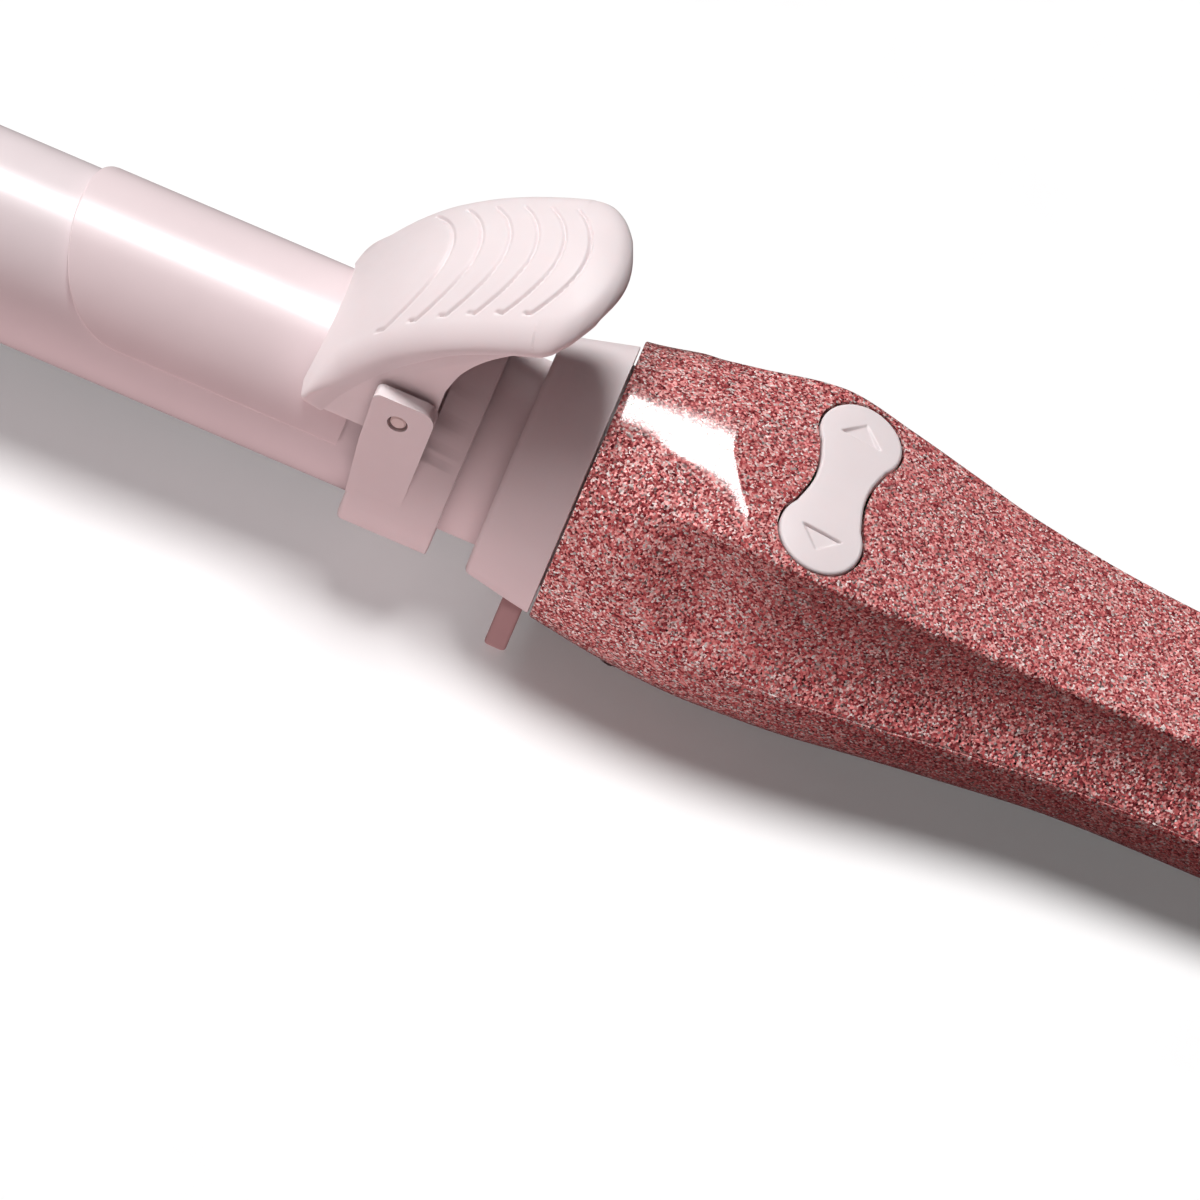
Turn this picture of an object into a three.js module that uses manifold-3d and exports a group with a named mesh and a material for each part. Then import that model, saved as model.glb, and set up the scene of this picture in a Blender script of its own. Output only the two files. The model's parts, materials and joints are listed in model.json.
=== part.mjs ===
// Rotating curling iron: a heated barrel with a spring clamp, turned by a gear motor in the handle.
// Millimetres, +Z up. The iron is drawn with its barrel along X, the tip at -X and the joint between
// collar and handle at x = 0, and is then tilted so that its foot and its heel stand on z = 0.
import * as THREE from 'three';
import { mergeVertices } from 'three/addons/utils/BufferGeometryUtils.js';
import Module from 'manifold-3d';

const wasm = await Module();
wasm.setup();

// ---------------------------------------------------------------- driving dimensions
const gap = 0.3;                    // clearance between neighbouring pieces
const barrelR = 12.7;               // one inch barrel
const barrelWall = 0.8;
const barrelFront = -152;
const barrelRear = -20.9;
const tipEnd = -163;

const neckR = 12.6;
const neckFlangeR = 14.4;
const hubR = 6.5;
const hubEnd = 24;

const clampInnerR = 13.0;
const clampOuterR = 13.6;
const clampFront = -72.4;
const clampTongue = 12;             // length of the rounded front end
const clampRear = -30.5;
const clampHalfAngle = THREE.MathUtils.degToRad(76.6);

const pinX = -24.3;                 // clamp hinge, along Y
const pinZ = 15.4;
const pinR = 1.2;

const leverFront = -37.6;
const leverHalfWidth = 13.7;
const leverDome = 26;               // transverse radius of the thumb plate
const leverThickness = 2.5;
const webOuterY = 13.5;
const webThickness = 1.7;
const webBottom = 9.1;
const webRear = -20.3;

const bracketR = 16.2;
const bracketBore = 12.95;
const bracketFront = -26.7;
const ringFront = -20;
const ringRear = -14.8;
const earInnerY = 14.2;
const earTop = 19.3;

const collarFront = -9.5;
const footFront = -3.7;
const footRear = -0.8;
const footHalfWidth = 11.4;
const footDrop = 24;                // foot's standing face below the barrel axis

const shellFront = 0.3;
const shellRear = 182;
const shellWall = 2.2;
const capRear = 190;
const heelX = 172;                  // middle of the flat under the handle's rear
const heelFlat = 0.3;               // depth of that flat

const rockerX = 30.2;
const rockerLobeY = 8.6;
const rockerLobeR = 5.6;
const rockerWaist = 3.55;
const rockerGap = 0.4;
const rockerBottom = 17.7;

const powerButtonX = 112;
const heatButtonX = 124;
const buttonR = 3.5;
const windowX = 143;
const boardZ = 3;                   // underside of the main circuit board

const swivelZ = -1;                 // axis of the cord swivel
const swivelBore = 3.75;

// handle outline: x, half width, depth, height on the centre line, ridge y, ridge z
const handleStations = [
  [0, 18.3, 16.6, 19.3, 11.6, 15.4],
  [10, 19.6, 18.1, 19.9, 13.6, 17.2],
  [20, 20.4, 18.5, 20.1, 15.1, 18.55],
  [27, 20.4, 18.1, 19.9, 15.7, 18.9],
  [36, 19.8, 17.5, 18.6, 14.75, 17.5],
  [45, 18.7, 16.4, 17.0, 13.5, 16.0],
  [55, 17.1, 16.0, 15.4, 12.1, 14.3],
  [70, 15.3, 15.1, 13.7, 10.8, 12.75],
  [87, 14.9, 14.9, 12.8, 10.2, 11.9],
  [120, 15.2, 15.1, 13.0, 10.3, 12.0],
  [150, 16.6, 16.3, 14.2, 11.3, 13.1],
  [172, 16.8, 16.9, 14.5, 11.6, 13.4],
  [182, 15.8, 15.8, 13.8, 10.8, 12.8],
];
const ridgeShare = 0.6;             // part of each half outline below the ridge
const ridgeAngle = THREE.MathUtils.degToRad(52);
const ridgeFrom = 8;                // the upper outline turns from oval to ridged between these two x
const ridgeTo = 26;
const ovalPower = 2.3;              // squareness of the oval upper outline at the collar
const ovalGain = 0.6;               // added to it over the first ovalRun millimetres
const ovalRun = 16;
const lowerPower = 2.2;             // squareness of the lower outline

// collar outline: x, half width, depth, height
const collarStations = [
  [collarFront, 15.0, 15.0, 15.0],
  [collarFront + 0.45, 16.0, 15.9, 16.0],
  [collarFront + 1.4, 16.5, 16.4, 16.7],
  [-4.5, 17.3, 16.9, 17.9],
  [0, 18.3, 17.4, 19.3],
];

// centre line of the thumb plate's upper face: x, z
const leverLine = [
  [-37.6, 13.9], [-36.4, 17.1], [-34.7, 20.4], [-32.7, 23.8], [-30.5, 27.1], [-27.4, 30.5], [-23.5, 33.7],
  [-19.8, 36.2], [-16.8, 37.9], [-13.7, 39.4], [-10.6, 40.3], [-7.9, 40.5], [-5.6, 40.2], [-4.2, 39.7],
];
const leverRound = -13.8;           // where the plate's plan outline starts to close
const leverEnd = -4.2;

// where each side web meets the plate's underside, from the rear forward: x, z
const webUnderPlate = [[-18, 33.2], [-22, 29.8], [-27, 25.2], [-31, 20.3], [-35, 14.3], [-36.9, 10.6]];

// ---------------------------------------------------------------- colours
const finish = (color, roughness, metalness = 0) =>
  new THREE.MeshStandardMaterial({ color, roughness, metalness });
const pink = finish(0xeadcdc, 0.35);
const glitter = finish(0xb06a68, 0.35);
const heatedSteel = finish(0xe9dfe0, 0.18, 0.2);
const steel = finish(0xb9bbc0, 0.3, 1);
const brass = finish(0xc9a24a, 0.35, 1);
const aluminium = finish(0xc4c7cc, 0.45, 1);
const blackPlastic = finish(0x1c1c1e, 0.5);
const carbon = finish(0x2b2b2e, 0.8);
const ceramic = finish(0xe8e4da, 0.7);
const board = finish(0x2f6b3f, 0.6);
const darkLens = finish(0x14161a, 0.1);

// ---------------------------------------------------------------- geometry helpers
function cleaned(source) {
  const bare = source.clone();
  for (const name of Object.keys(bare.attributes)) {
    if (name !== 'position') bare.deleteAttribute(name);
  }
  const merged = mergeVertices(bare, 1e-4);
  const kept = [];
  const corners = merged.index.array;
  for (let i = 0; i < corners.length; i += 3) {
    const [a, b, c] = [corners[i], corners[i + 1], corners[i + 2]];
    if (a !== b && b !== c && c !== a) kept.push(a, b, c);
  }
  merged.setIndex(kept);
  return merged;
}

function toSolid(geometry) {
  const merged = cleaned(geometry);
  return new wasm.Manifold(new wasm.Mesh({
    numProp: 3,
    vertProperties: new Float32Array(merged.attributes.position.array),
    triVerts: new Uint32Array(merged.index.array),
  }));
}

function fromSolid(solid) {
  const mesh = solid.getMesh();
  const geometry = new THREE.BufferGeometry();
  geometry.setAttribute('position', new THREE.BufferAttribute(mesh.vertProperties, 3));
  geometry.setIndex(new THREE.BufferAttribute(mesh.triVerts, 1));
  return geometry;
}

const joined = (...parts) => parts.reduce((sum, part) => sum.add(part));
const cut = (body, ...tools) => tools.reduce((rest, tool) => rest.subtract(tool), body);

function box(x0, x1, y0, y1, z0, z1) {
  const geometry = new THREE.BoxGeometry(x1 - x0, y1 - y0, z1 - z0);
  return geometry.translate((x0 + x1) / 2, (y0 + y1) / 2, (z0 + z1) / 2);
}

// Turned about X from [x, radius] points.
function turned(profile, segments = 32) {
  let points = profile.map(([x, r]) => new THREE.Vector2(r, x));
  const closed = profile[0][1] > 0 || profile[profile.length - 1][1] > 0;
  if (THREE.ShapeUtils.area(points) < 0) points = points.reverse();
  if (closed) points.push(points[0].clone());
  return new THREE.LatheGeometry(points, segments).rotateZ(-Math.PI / 2);
}

const rod = (x0, x1, r, segments = 16) => turned([[x0, 0], [x0, r], [x1, r], [x1, 0]], segments);

function sleeve(x0, x1, inner, outer, segments = 32) {
  return turned([[x0, inner], [x0, outer], [x1, outer], [x1, inner]], segments);
}

// A cylinder between two heights, or between two y values.
function post(x, y, z0, z1, r, segments = 12) {
  return new THREE.CylinderGeometry(r, r, z1 - z0, segments).rotateX(Math.PI / 2)
    .translate(x, y, (z0 + z1) / 2);
}

function crossRod(x, z, y0, y1, r, segments = 16) {
  return new THREE.CylinderGeometry(r, r, y1 - y0, segments).translate(x, (y0 + y1) / 2, z);
}

// An XZ outline given thickness along Y.
function sidePlate(shape, y0, y1, curveSegments = 6) {
  const geometry = new THREE.ExtrudeGeometry(shape, { depth: y1 - y0, bevelEnabled: false, curveSegments });
  return geometry.rotateX(Math.PI / 2).translate(0, y1, 0);
}

// Rings of equal point count, joined along the row, with a cap at each end.
function lofted(rings) {
  const count = rings[0].length;
  const positions = rings.flat().flatMap((p) => [p.x, p.y, p.z]);
  const faces = [];
  for (let i = 0; i + 1 < rings.length; i += 1) {
    for (let j = 0; j < count; j += 1) {
      const a = i * count + j;
      const b = i * count + ((j + 1) % count);
      faces.push(a, b, b + count, a, b + count, a + count);
    }
  }
  for (const ring of [0, rings.length - 1]) {
    const flat = projected(rings[ring]);
    const flip = (ring > 0) !== (THREE.ShapeUtils.area(flat) < 0);
    for (const [a, b, c] of THREE.ShapeUtils.triangulateShape(flat, [])) {
      const start = ring * count;
      faces.push(...(flip ? [start + a, start + b, start + c] : [start + a, start + c, start + b]));
    }
  }
  const geometry = new THREE.BufferGeometry();
  geometry.setAttribute('position', new THREE.Float32BufferAttribute(positions, 3));
  geometry.setIndex(faces);
  return volume(geometry) < 0 ? reversed(geometry) : geometry;
}

// A ring laid out flat, dropping the axis along which it is thinnest.
function projected(ring) {
  const size = new THREE.Box3().setFromPoints(ring).getSize(new THREE.Vector3());
  if (size.y < size.x && size.y < size.z) return ring.map((p) => new THREE.Vector2(p.z, p.x));
  return ring.map((p) => new THREE.Vector2(p.y, p.z));
}

function volume(geometry) {
  const at = (i) => new THREE.Vector3().fromBufferAttribute(geometry.attributes.position, i);
  const corners = geometry.index.array;
  let sum = 0;
  for (let i = 0; i < corners.length; i += 3) {
    sum += at(corners[i]).dot(at(corners[i + 1]).cross(at(corners[i + 2])));
  }
  return sum / 6;
}

function reversed(geometry) {
  const corners = Array.from(geometry.index.array);
  return geometry.setIndex(corners.reverse());
}

// Smooth curve through table rows: the values at x, with slopes taken from the neighbours.
function along(table, x) {
  const last = table.length - 1;
  let i = 0;
  while (i < last - 1 && x > table[i + 1][0]) i += 1;
  const slope = (k, column) => {
    const [low, high] = [Math.max(k - 1, 0), Math.min(k + 1, last)];
    return (table[high][column] - table[low][column]) / (table[high][0] - table[low][0]);
  };
  const span = table[i + 1][0] - table[i][0];
  const t = THREE.MathUtils.clamp((x - table[i][0]) / span, 0, 1);
  return table[i].slice(1).map((value, k) => {
    const column = k + 1;
    const [p0, p1] = [value, table[i + 1][column]];
    const [m0, m1] = [slope(i, column) * span, slope(i + 1, column) * span];
    return (2 * t ** 3 - 3 * t ** 2 + 1) * p0 + (t ** 3 - 2 * t ** 2 + t) * m0
      + (3 * t ** 2 - 2 * t ** 3) * p1 + (t ** 3 - t ** 2) * m1;
  });
}

function evenly(from, to, steps) {
  return Array.from({ length: steps + 1 }, (_, i) => from + ((to - from) * i) / steps);
}

// ---------------------------------------------------------------- handle outline
// Upper half at x, from the parting plane on one side over the top: oval at the collar, ridged behind.
function upperOutline(x, inset, steps) {
  const [a, , top, ridgeY, ridgeZ] = along(handleStations, x);
  const [halfWidth, height] = [a - inset, top - inset];
  const [cornerY, cornerZ] = [ridgeY - 0.8 * inset, ridgeZ - inset];
  const ridged = THREE.MathUtils.smoothstep(x, ridgeFrom, ridgeTo);
  const power = 2 / (ovalPower + ovalGain * THREE.MathUtils.smoothstep(x, 0, ovalRun));
  const point = (t) => {
    const below = t < ridgeShare;
    const s = below ? t / ridgeShare : (t - ridgeShare) / (1 - ridgeShare);
    const angle = below ? ridgeAngle * s : ridgeAngle + (Math.PI / 2 - ridgeAngle) * s;
    const oval = [halfWidth * Math.abs(Math.cos(angle)) ** power, height * Math.sin(angle) ** power];
    const flare = halfWidth - cornerY;
    const side = new THREE.CubicBezierCurve(
      new THREE.Vector2(halfWidth, 0), new THREE.Vector2(halfWidth - 0.22 * flare, 0.22 * cornerZ),
      new THREE.Vector2(cornerY - 0.05 * flare, 0.45 * cornerZ), new THREE.Vector2(cornerY, cornerZ));
    const crown = [cornerY * (1 - s), height - (height - cornerZ) * (1 - s) ** 2];
    const edged = below ? side.getPoint(s).toArray() : crown;
    return [0, 1].map((k) => THREE.MathUtils.lerp(oval[k], edged[k], ridged));
  };
  const half = evenly(0, 1, steps).map(point);
  const mirrored = half.slice(0, -1).reverse().map(([y, z]) => [-y, z]);
  return [...half, ...mirrored];
}

function lowerOutline(x, inset, steps) {
  const [a, b] = along(handleStations, x);
  return evenly(0, Math.PI, 2 * steps).map((angle) => {
    const squareness = 2 / lowerPower;
    const [c, s] = [Math.cos(angle), Math.sin(angle)];
    return [(a - inset) * Math.sign(c) * Math.abs(c) ** squareness, -(b - inset) * s ** squareness];
  });
}

function handleHalf(outline, sign) {
  const stops = [shellFront, 6, 12, 18, 24, 30, 36, 43, 50, 60, 72, 90, 120, 145, 160, 172, shellRear];
  const steps = 6;
  const lift = gap / 2;
  const rings = stops.map((x) => {
    const onPlane = ([y, z]) => new THREE.Vector3(x, y, sign * Math.max(sign * z, lift));
    const outer = outline(x, 0, steps).map(onPlane);
    const inner = outline(x, shellWall, steps).map(onPlane).reverse();
    return [...outer, ...inner];
  });
  return toSolid(lofted(rings));
}

// The whole handle as one filled body, for cutting flush faces.
function handleBody(inset) {
  const rings = [18, 24, 30, 36, 43].map((x) => [
    ...upperOutline(x, inset, 6), ...lowerOutline(x, inset, 3).reverse().slice(1, -1),
  ].map(([y, z]) => new THREE.Vector3(x, y, z)));
  return toSolid(lofted(rings));
}

// ---------------------------------------------------------------- floor line
const heelDepth = along(handleStations, heelX)[1] - heelFlat;
const footX = (footFront + footRear) / 2;
const tilt = Math.atan2(footDrop - heelDepth, heelX - footX);

// Everything below the surface the iron stands on.
function underFloor() {
  const slab = new THREE.BoxGeometry(500, 80, 20).translate(0, 0, -10);
  slab.rotateY(-tilt).translate(footX, 0, -footDrop);
  return toSolid(slab);
}

// ---------------------------------------------------------------- barrel group
const barrelTube = () => sleeve(barrelFront, barrelRear, barrelR - barrelWall, barrelR);

// Rounded insulating nose with a spigot inside the tube.
function tipCap() {
  const spigotR = barrelR - barrelWall - gap;
  const round = 6.5;
  const outline = [[tipEnd, 0], [tipEnd, barrelR - round]];
  for (const angle of evenly(0, Math.PI / 2, 4).slice(1)) {
    outline.push([tipEnd + round * (1 - Math.cos(angle)), barrelR - round + round * Math.sin(angle)]);
  }
  outline.push([barrelFront - gap, barrelR], [barrelFront - gap, spigotR]);
  outline.push([barrelFront + 5, spigotR], [barrelFront + 5, 0]);
  return turned(outline);
}

const heaterFront = barrelFront + 8;
const heaterRear = -45;
const heaterCore = () => box(heaterFront, heaterRear, -5, 5, -1.2, 1.2);

// One half of the hollow aluminium profile that carries heat from the flat heater to the tube.
function heatSpreader(sign) {
  const wall = 1.6;
  const outerR = barrelR - barrelWall - 0.4;
  const bar = (r, flat, x0, x1) => {
    const start = Math.asin(flat / r);
    const outline = evenly(start, Math.PI - start, 10);
    return toSolid(lofted([x0, x1].map((x) => outline.map((angle) =>
      new THREE.Vector3(x, r * Math.cos(angle), sign * r * Math.sin(angle))))));
  };
  const flat = 1.2 + gap;
  return fromSolid(cut(bar(outerR, flat, heaterFront, heaterRear),
    bar(outerR - wall, flat + wall, heaterFront - 1, heaterRear + 1)));
}

const thermistor = () => rod(heaterRear + 2, heaterRear + 8, 1.6, 12);

// Turning neck: a spigot in the barrel, the visible neck, a flange behind the collar and a hub.
function neckSleeve() {
  const spigotR = barrelR - barrelWall - gap;
  const profile = [[-34, 4], [-34, spigotR], [barrelRear, spigotR], [barrelRear + gap, neckR], [-1, neckR],
    [-1, neckFlangeR], [1.4, neckFlangeR], [1.4, hubR], [hubEnd, hubR], [hubEnd, 3], [-16, 3], [-20, 4]];
  return fromSolid(cut(toSolid(turned(profile)), ...bracketScrews(1.3, 0)));
}

const slipRingX = [5, 9.5, 14];
const slipRing = (x) => sleeve(x, x + 2.5, hubR + gap, hubR + 1.5, 20);
const driveCoupling = () => sleeve(hubEnd + gap, 31, 2.3, 5, 14);
const outputShaft = () => rod(26, 37.5, 2, 12);

// Two screws that hold the bracket on the neck from below, with their heads sunk in the ring.
const bracketScrewX = (ringFront + ringRear) / 2;
const bracketScrewAngles = [-26, 26].map(THREE.MathUtils.degToRad);
function radialScrew(angle, shankR, headR) {
  const shank = post(0, 0, -15.4, -9, shankR, 8);
  const head = headR ? [toSolid(post(0, 0, -16, -14.9, headR))] : [];
  const drop = fromSolid(joined(toSolid(shank), ...head));
  return drop.rotateX(angle).translate(bracketScrewX, 0, 0);
}
const bracketScrews = (shankR, headR) =>
  bracketScrewAngles.map((angle) => toSolid(radialScrew(angle, shankR, headR)));

// Ring round the barrel's root, a cradle under it, and two ears for the clamp's hinge pin.
function hingeBracket() {
  const ring = toSolid(sleeve(ringFront, ringRear, bracketBore, bracketR));
  const cradle = cut(toSolid(sleeve(bracketFront, ringFront + 1, bracketBore, bracketR)),
    toSolid(box(-60, ringFront + 2, -40, 40, 0, 40)));
  const ear = new THREE.Shape();
  ear.moveTo(bracketFront, -1);
  ear.lineTo(pinX - 4, 9);
  ear.lineTo(pinX - 4, earTop - 0.8);
  ear.quadraticCurveTo(pinX - 4, earTop, pinX - 3, earTop);
  ear.lineTo(ringFront - 2.3, earTop);
  ear.quadraticCurveTo(ringFront - 0.3, earTop, ringFront - 0.3, earTop - 2);
  ear.lineTo(ringFront - 0.3, 8);
  ear.lineTo(ringRear - 0.6, 2);
  ear.lineTo(ringRear - 0.6, -1);
  const ears = [-bracketR, earInnerY].map((y) => toSolid(sidePlate(ear, y, y + bracketR - earInnerY)));
  const pinHole = toSolid(crossRod(pinX, pinZ, -20, 20, pinR + gap));
  const sinks = bracketScrewAngles.map((angle) =>
    toSolid(post(0, 0, -20, -14.6, 2.3).rotateX(angle).translate(bracketScrewX, 0, 0)));
  const solid = cut(joined(ring, cradle, ...ears), pinHole, ...bracketScrews(1.3, 0), ...sinks);
  return fromSolid(solid);
}

const hingePin = () => crossRod(pinX, pinZ, -bracketR + 0.1, bracketR - 0.1, pinR, 20);

// Wire coil round the pin with a straight leg at each end.
function torsionSpring() {
  const [coilR, wireR, turns, halfLength] = [1.95, 0.38, 5, 4.2];
  const points = [new THREE.Vector3(pinX + 3.4, -halfLength - 0.6, pinZ - coilR)];
  for (const t of evenly(0, 1, turns * 8)) {
    const angle = -Math.PI / 2 + t * turns * 2 * Math.PI;
    points.push(new THREE.Vector3(pinX + coilR * Math.cos(angle), halfLength * (2 * t - 1),
      pinZ + coilR * Math.sin(angle)));
  }
  points.push(new THREE.Vector3(pinX + 3.4, halfLength + 0.6, pinZ - coilR));
  const wire = new THREE.Shape().absarc(0, 0, wireR, 0, 2 * Math.PI);
  const path = new THREE.CatmullRomCurve3(points);
  return new THREE.ExtrudeGeometry(wire, {
    steps: 56, curveSegments: 3, bevelEnabled: false, extrudePath: path,
  });
}

// ---------------------------------------------------------------- clamp group
function clampPlate() {
  const tongueRows = evenly(0.14, Math.PI / 2, 6)
    .map((angle) => [clampFront + clampTongue * (1 - Math.cos(angle)), clampHalfAngle * Math.sin(angle)]);
  const rows = [...tongueRows, [-50, clampHalfAngle], [clampRear, clampHalfAngle]];
  const rings = rows.map(([x, half]) => {
    const arc = (r) => evenly(-half, half, 14)
      .map((angle) => new THREE.Vector3(x, r * Math.sin(angle), r * Math.cos(angle)));
    return [...arc(clampOuterR), ...arc(clampInnerR).reverse()];
  });
  return fromSolid(cut(toSolid(lofted(rings)), ...rivetHoles()));
}

const rivetX = -32.4;
const rivetY = 5;
const rivetR = 1;
const rivetBase = Math.sqrt(clampInnerR ** 2 - (rivetY - rivetR) ** 2);
const rivetHeadZ = 17.6;
const rivetHoles = () => [-rivetY, rivetY].map((y) => toSolid(post(rivetX, y, 8, 30, rivetR + gap, 10)));

function clampRivet(side) {
  const y = side * rivetY;
  const shank = toSolid(post(rivetX, y, rivetBase, rivetHeadZ + 0.6, rivetR, 10));
  const head = toSolid(post(rivetX, y, rivetHeadZ + gap, rivetHeadZ + 1.3, 1.9));
  return fromSolid(joined(shank, head));
}

// Thumb lever: a domed plate rising backwards over two side webs, and a seat riveted to the clamp.
function thumbLever() {
  const line = new THREE.SplineCurve(leverLine.map(([x, z]) => new THREE.Vector2(x, z)));
  const rows = evenly(-1, 1, 12).map((k) => {
    const y = leverHalfWidth * Math.sin((k * Math.PI) / 2);
    const drop = leverDome - Math.sqrt(leverDome ** 2 - y ** 2);
    const reach = Math.sqrt(Math.max(0, 1 - (y / leverHalfWidth) ** 2));
    const end = leverRound + (leverEnd - leverRound) * reach;
    const share = leverShare(line, end);
    const upper = evenly(0, share, 10).map((t) => line.getPoint(t));
    const lower = evenly(0, share, 10).map((t) => {
      const along = line.getTangent(t);
      return line.getPoint(t).add(new THREE.Vector2(along.y, -along.x).multiplyScalar(leverThickness));
    });
    return [...upper, ...lower.reverse()].map((p) => new THREE.Vector3(p.x, y, p.y - drop));
  });
  const plate = toSolid(lofted(rows));
  const web = new THREE.Shape();
  web.moveTo(leverFront + 0.3, webBottom);
  web.lineTo(webRear, webBottom);
  web.lineTo(webRear, 20.7);
  web.quadraticCurveTo(webRear + 0.8, 29.8, webRear + 7, 34.4);
  for (const [x, z] of webUnderPlate) web.lineTo(x, z);
  const webs = [-webOuterY, webOuterY - webThickness].map((y) =>
    toSolid(sidePlate(web, y, y + webThickness)));
  const seat = toSolid(box(leverFront + 1.6, -29.6, -10, 10, 8, rivetHeadZ));
  const clampRoom = toSolid(rod(-60, -10, clampOuterR + gap, 32));
  const pinHole = toSolid(crossRod(pinX, pinZ, -20, 20, pinR + gap));
  const headRoom = [-rivetY, rivetY].map((y) => toSolid(post(rivetX, y, rivetHeadZ, 19.4, 2.3)));
  const solid = joined(plate, ...webs, seat);
  return fromSolid(cut(solid, clampRoom, pinHole, ...rivetHoles().map(shortened), ...headRoom));
}

// Share of the thumb plate's line that lies in front of x.
function leverShare(line, x) {
  let [low, high] = [0, 1];
  for (let i = 0; i < 30; i += 1) {
    const middle = (low + high) / 2;
    if (line.getPoint(middle).x < x) low = middle;
    else high = middle;
  }
  return (low + high) / 2;
}

// Rivet holes stop below the plate.
const shortened = (hole) => hole.intersect(toSolid(box(-60, 0, -20, 20, 0, 19.4)));

// ---------------------------------------------------------------- collar and shells
function frontCollar() {
  const rings = collarStations.map(([x, a, b, top]) => evenly(0, 2 * Math.PI, 32).slice(0, -1)
    .map((angle) => new THREE.Vector3(x, a * Math.cos(angle),
      (angle < Math.PI ? top : b) * Math.sin(angle))));
  const foot = new THREE.Shape();
  const [low, corner] = [-footDrop - 1, 1.5];
  foot.moveTo(-footHalfWidth, -14);
  foot.lineTo(-footHalfWidth, low + corner);
  foot.quadraticCurveTo(-footHalfWidth, low, -footHalfWidth + corner, low);
  foot.lineTo(footHalfWidth - corner, low);
  foot.quadraticCurveTo(footHalfWidth, low, footHalfWidth, low + corner);
  foot.lineTo(footHalfWidth, -14);
  const plate = new THREE.ExtrudeGeometry(foot, { depth: footRear - footFront, bevelEnabled: false })
    .rotateX(Math.PI / 2).rotateZ(Math.PI / 2).translate(footFront, 0, 0);
  return fromSolid(cut(joined(toSolid(lofted(rings)), toSolid(plate)), underFloor(),
    toSolid(rod(-20, 5, neckR + 0.35, 32)), toSolid(rod(-8, 5, bushOuterR + gap, 32)),
    toSolid(rod(-1.5, 5, neckFlangeR + 0.6, 32))));
}

const bushOuterR = 13.65;
const frontBush = () => sleeve(-7.7, -1.8, neckR + 0.25, bushOuterR);

// Bone-shaped outline of the rocker button in plan, x along the shape's x.
function rockerOutline(grow) {
  const [r, waist] = [rockerLobeR + grow, rockerWaist + grow];
  const join = 0.62;                      // angle on the lobe, from across, where the waist curve starts
  const [jx, jy] = [r * Math.cos(join), rockerLobeY - r * Math.sin(join)];
  const shape = new THREE.Shape();
  shape.absarc(0, rockerLobeY, r, -join, Math.PI + join, false);
  shape.bezierCurveTo(-waist - 0.5, jy - 2, -waist, 2.2, -waist, 0);
  shape.bezierCurveTo(-waist, -2.2, -waist - 0.5, -jy + 2, -jx, -jy);
  shape.absarc(0, -rockerLobeY, r, Math.PI - join, 2 * Math.PI + join, false);
  shape.bezierCurveTo(waist + 0.5, -jy + 2, waist, -2.2, waist, 0);
  shape.bezierCurveTo(waist, 2.2, waist + 0.5, jy - 2, jx, jy);
  return shape;
}

function rockerPrism(grow, z0, z1) {
  const options = { depth: z1 - z0, bevelEnabled: false, curveSegments: 6 };
  return toSolid(new THREE.ExtrudeGeometry(rockerOutline(grow), options).translate(rockerX, 0, z0));
}

// Button cut flush with the handle, a rib it tilts on, and two plungers over the switches.
function rockerButton() {
  const face = handleBody(0).intersect(rockerPrism(0, rockerBottom, 26));
  const rib = toSolid(box(rockerX - 2.5, rockerX + 2.5, -0.8, 0.8, 14.4, rockerBottom + 0.5));
  const plungers = [-rockerLobeY, rockerLobeY].map((y) =>
    toSolid(post(rockerX, y, rockerBottom - 0.4, rockerBottom + 0.5, 1.5, 10)));
  return fromSolid(joined(face, rib, ...plungers));
}

const screwPlaces = {
  left: [12, 12.5], right: [12, -12.5], middle: [76, 0], rear: [162, 0],
};
const bossR = 3;
const headSeat = 3.2;               // depth of a screw head's seat above the shell's outer face

function shellDepth(x, y) {
  const [a, b] = along(handleStations, x);
  return b * (1 - Math.abs(y / a) ** lowerPower) ** (1 / lowerPower);
}

function upperShell() {
  const bosses = Object.values(screwPlaces).map(([x, y]) => {
    const ceiling = y === 0 ? along(handleStations, x)[2] - 1.2 : 12;
    return cut(toSolid(post(x, y, gap / 2, ceiling, bossR)), toSolid(post(x, y, -1, 8, 1.5, 8)));
  });
  const window = toSolid(box(windowX - 8, windowX + 8, -5, 5, 6, 26));
  const shell = cut(handleHalf(upperOutline, 1), rockerPrism(rockerGap, 10, 30), window,
    ...[powerButtonX, heatButtonX].map((x) => toSolid(post(x, 0, 5, 26, buttonR + gap, 20))));
  return fromSolid(joined(shell, ...bosses));
}

function lowerShell() {
  const places = Object.values(screwPlaces);
  const bosses = places.map(([x, y]) => toSolid(post(x, y, 1 - shellDepth(x, y), -gap / 2, bossR)));
  const sinks = places.map(([x, y]) => toSolid(post(x, y, -30, headSeat - shellDepth(x, y), 2.4)));
  const shanks = places.map(([x, y]) => toSolid(post(x, y, -30, 2, 1.5, 8)));
  return fromSolid(cut(joined(handleHalf(lowerOutline, -1), ...bosses), ...sinks, ...shanks,
    underFloor()));
}

function shellScrew([x, y]) {
  const seat = headSeat - shellDepth(x, y) - gap;
  const head = toSolid(post(x, y, seat - 1.8, seat, 2.1));
  const shank = toSolid(post(x, y, seat - 0.5, 7, 1.2, 8));
  const slot = toSolid(post(x, y, seat - 3, seat - 0.9, 0.8, 6));
  return fromSolid(cut(joined(head, shank), slot));
}

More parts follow.
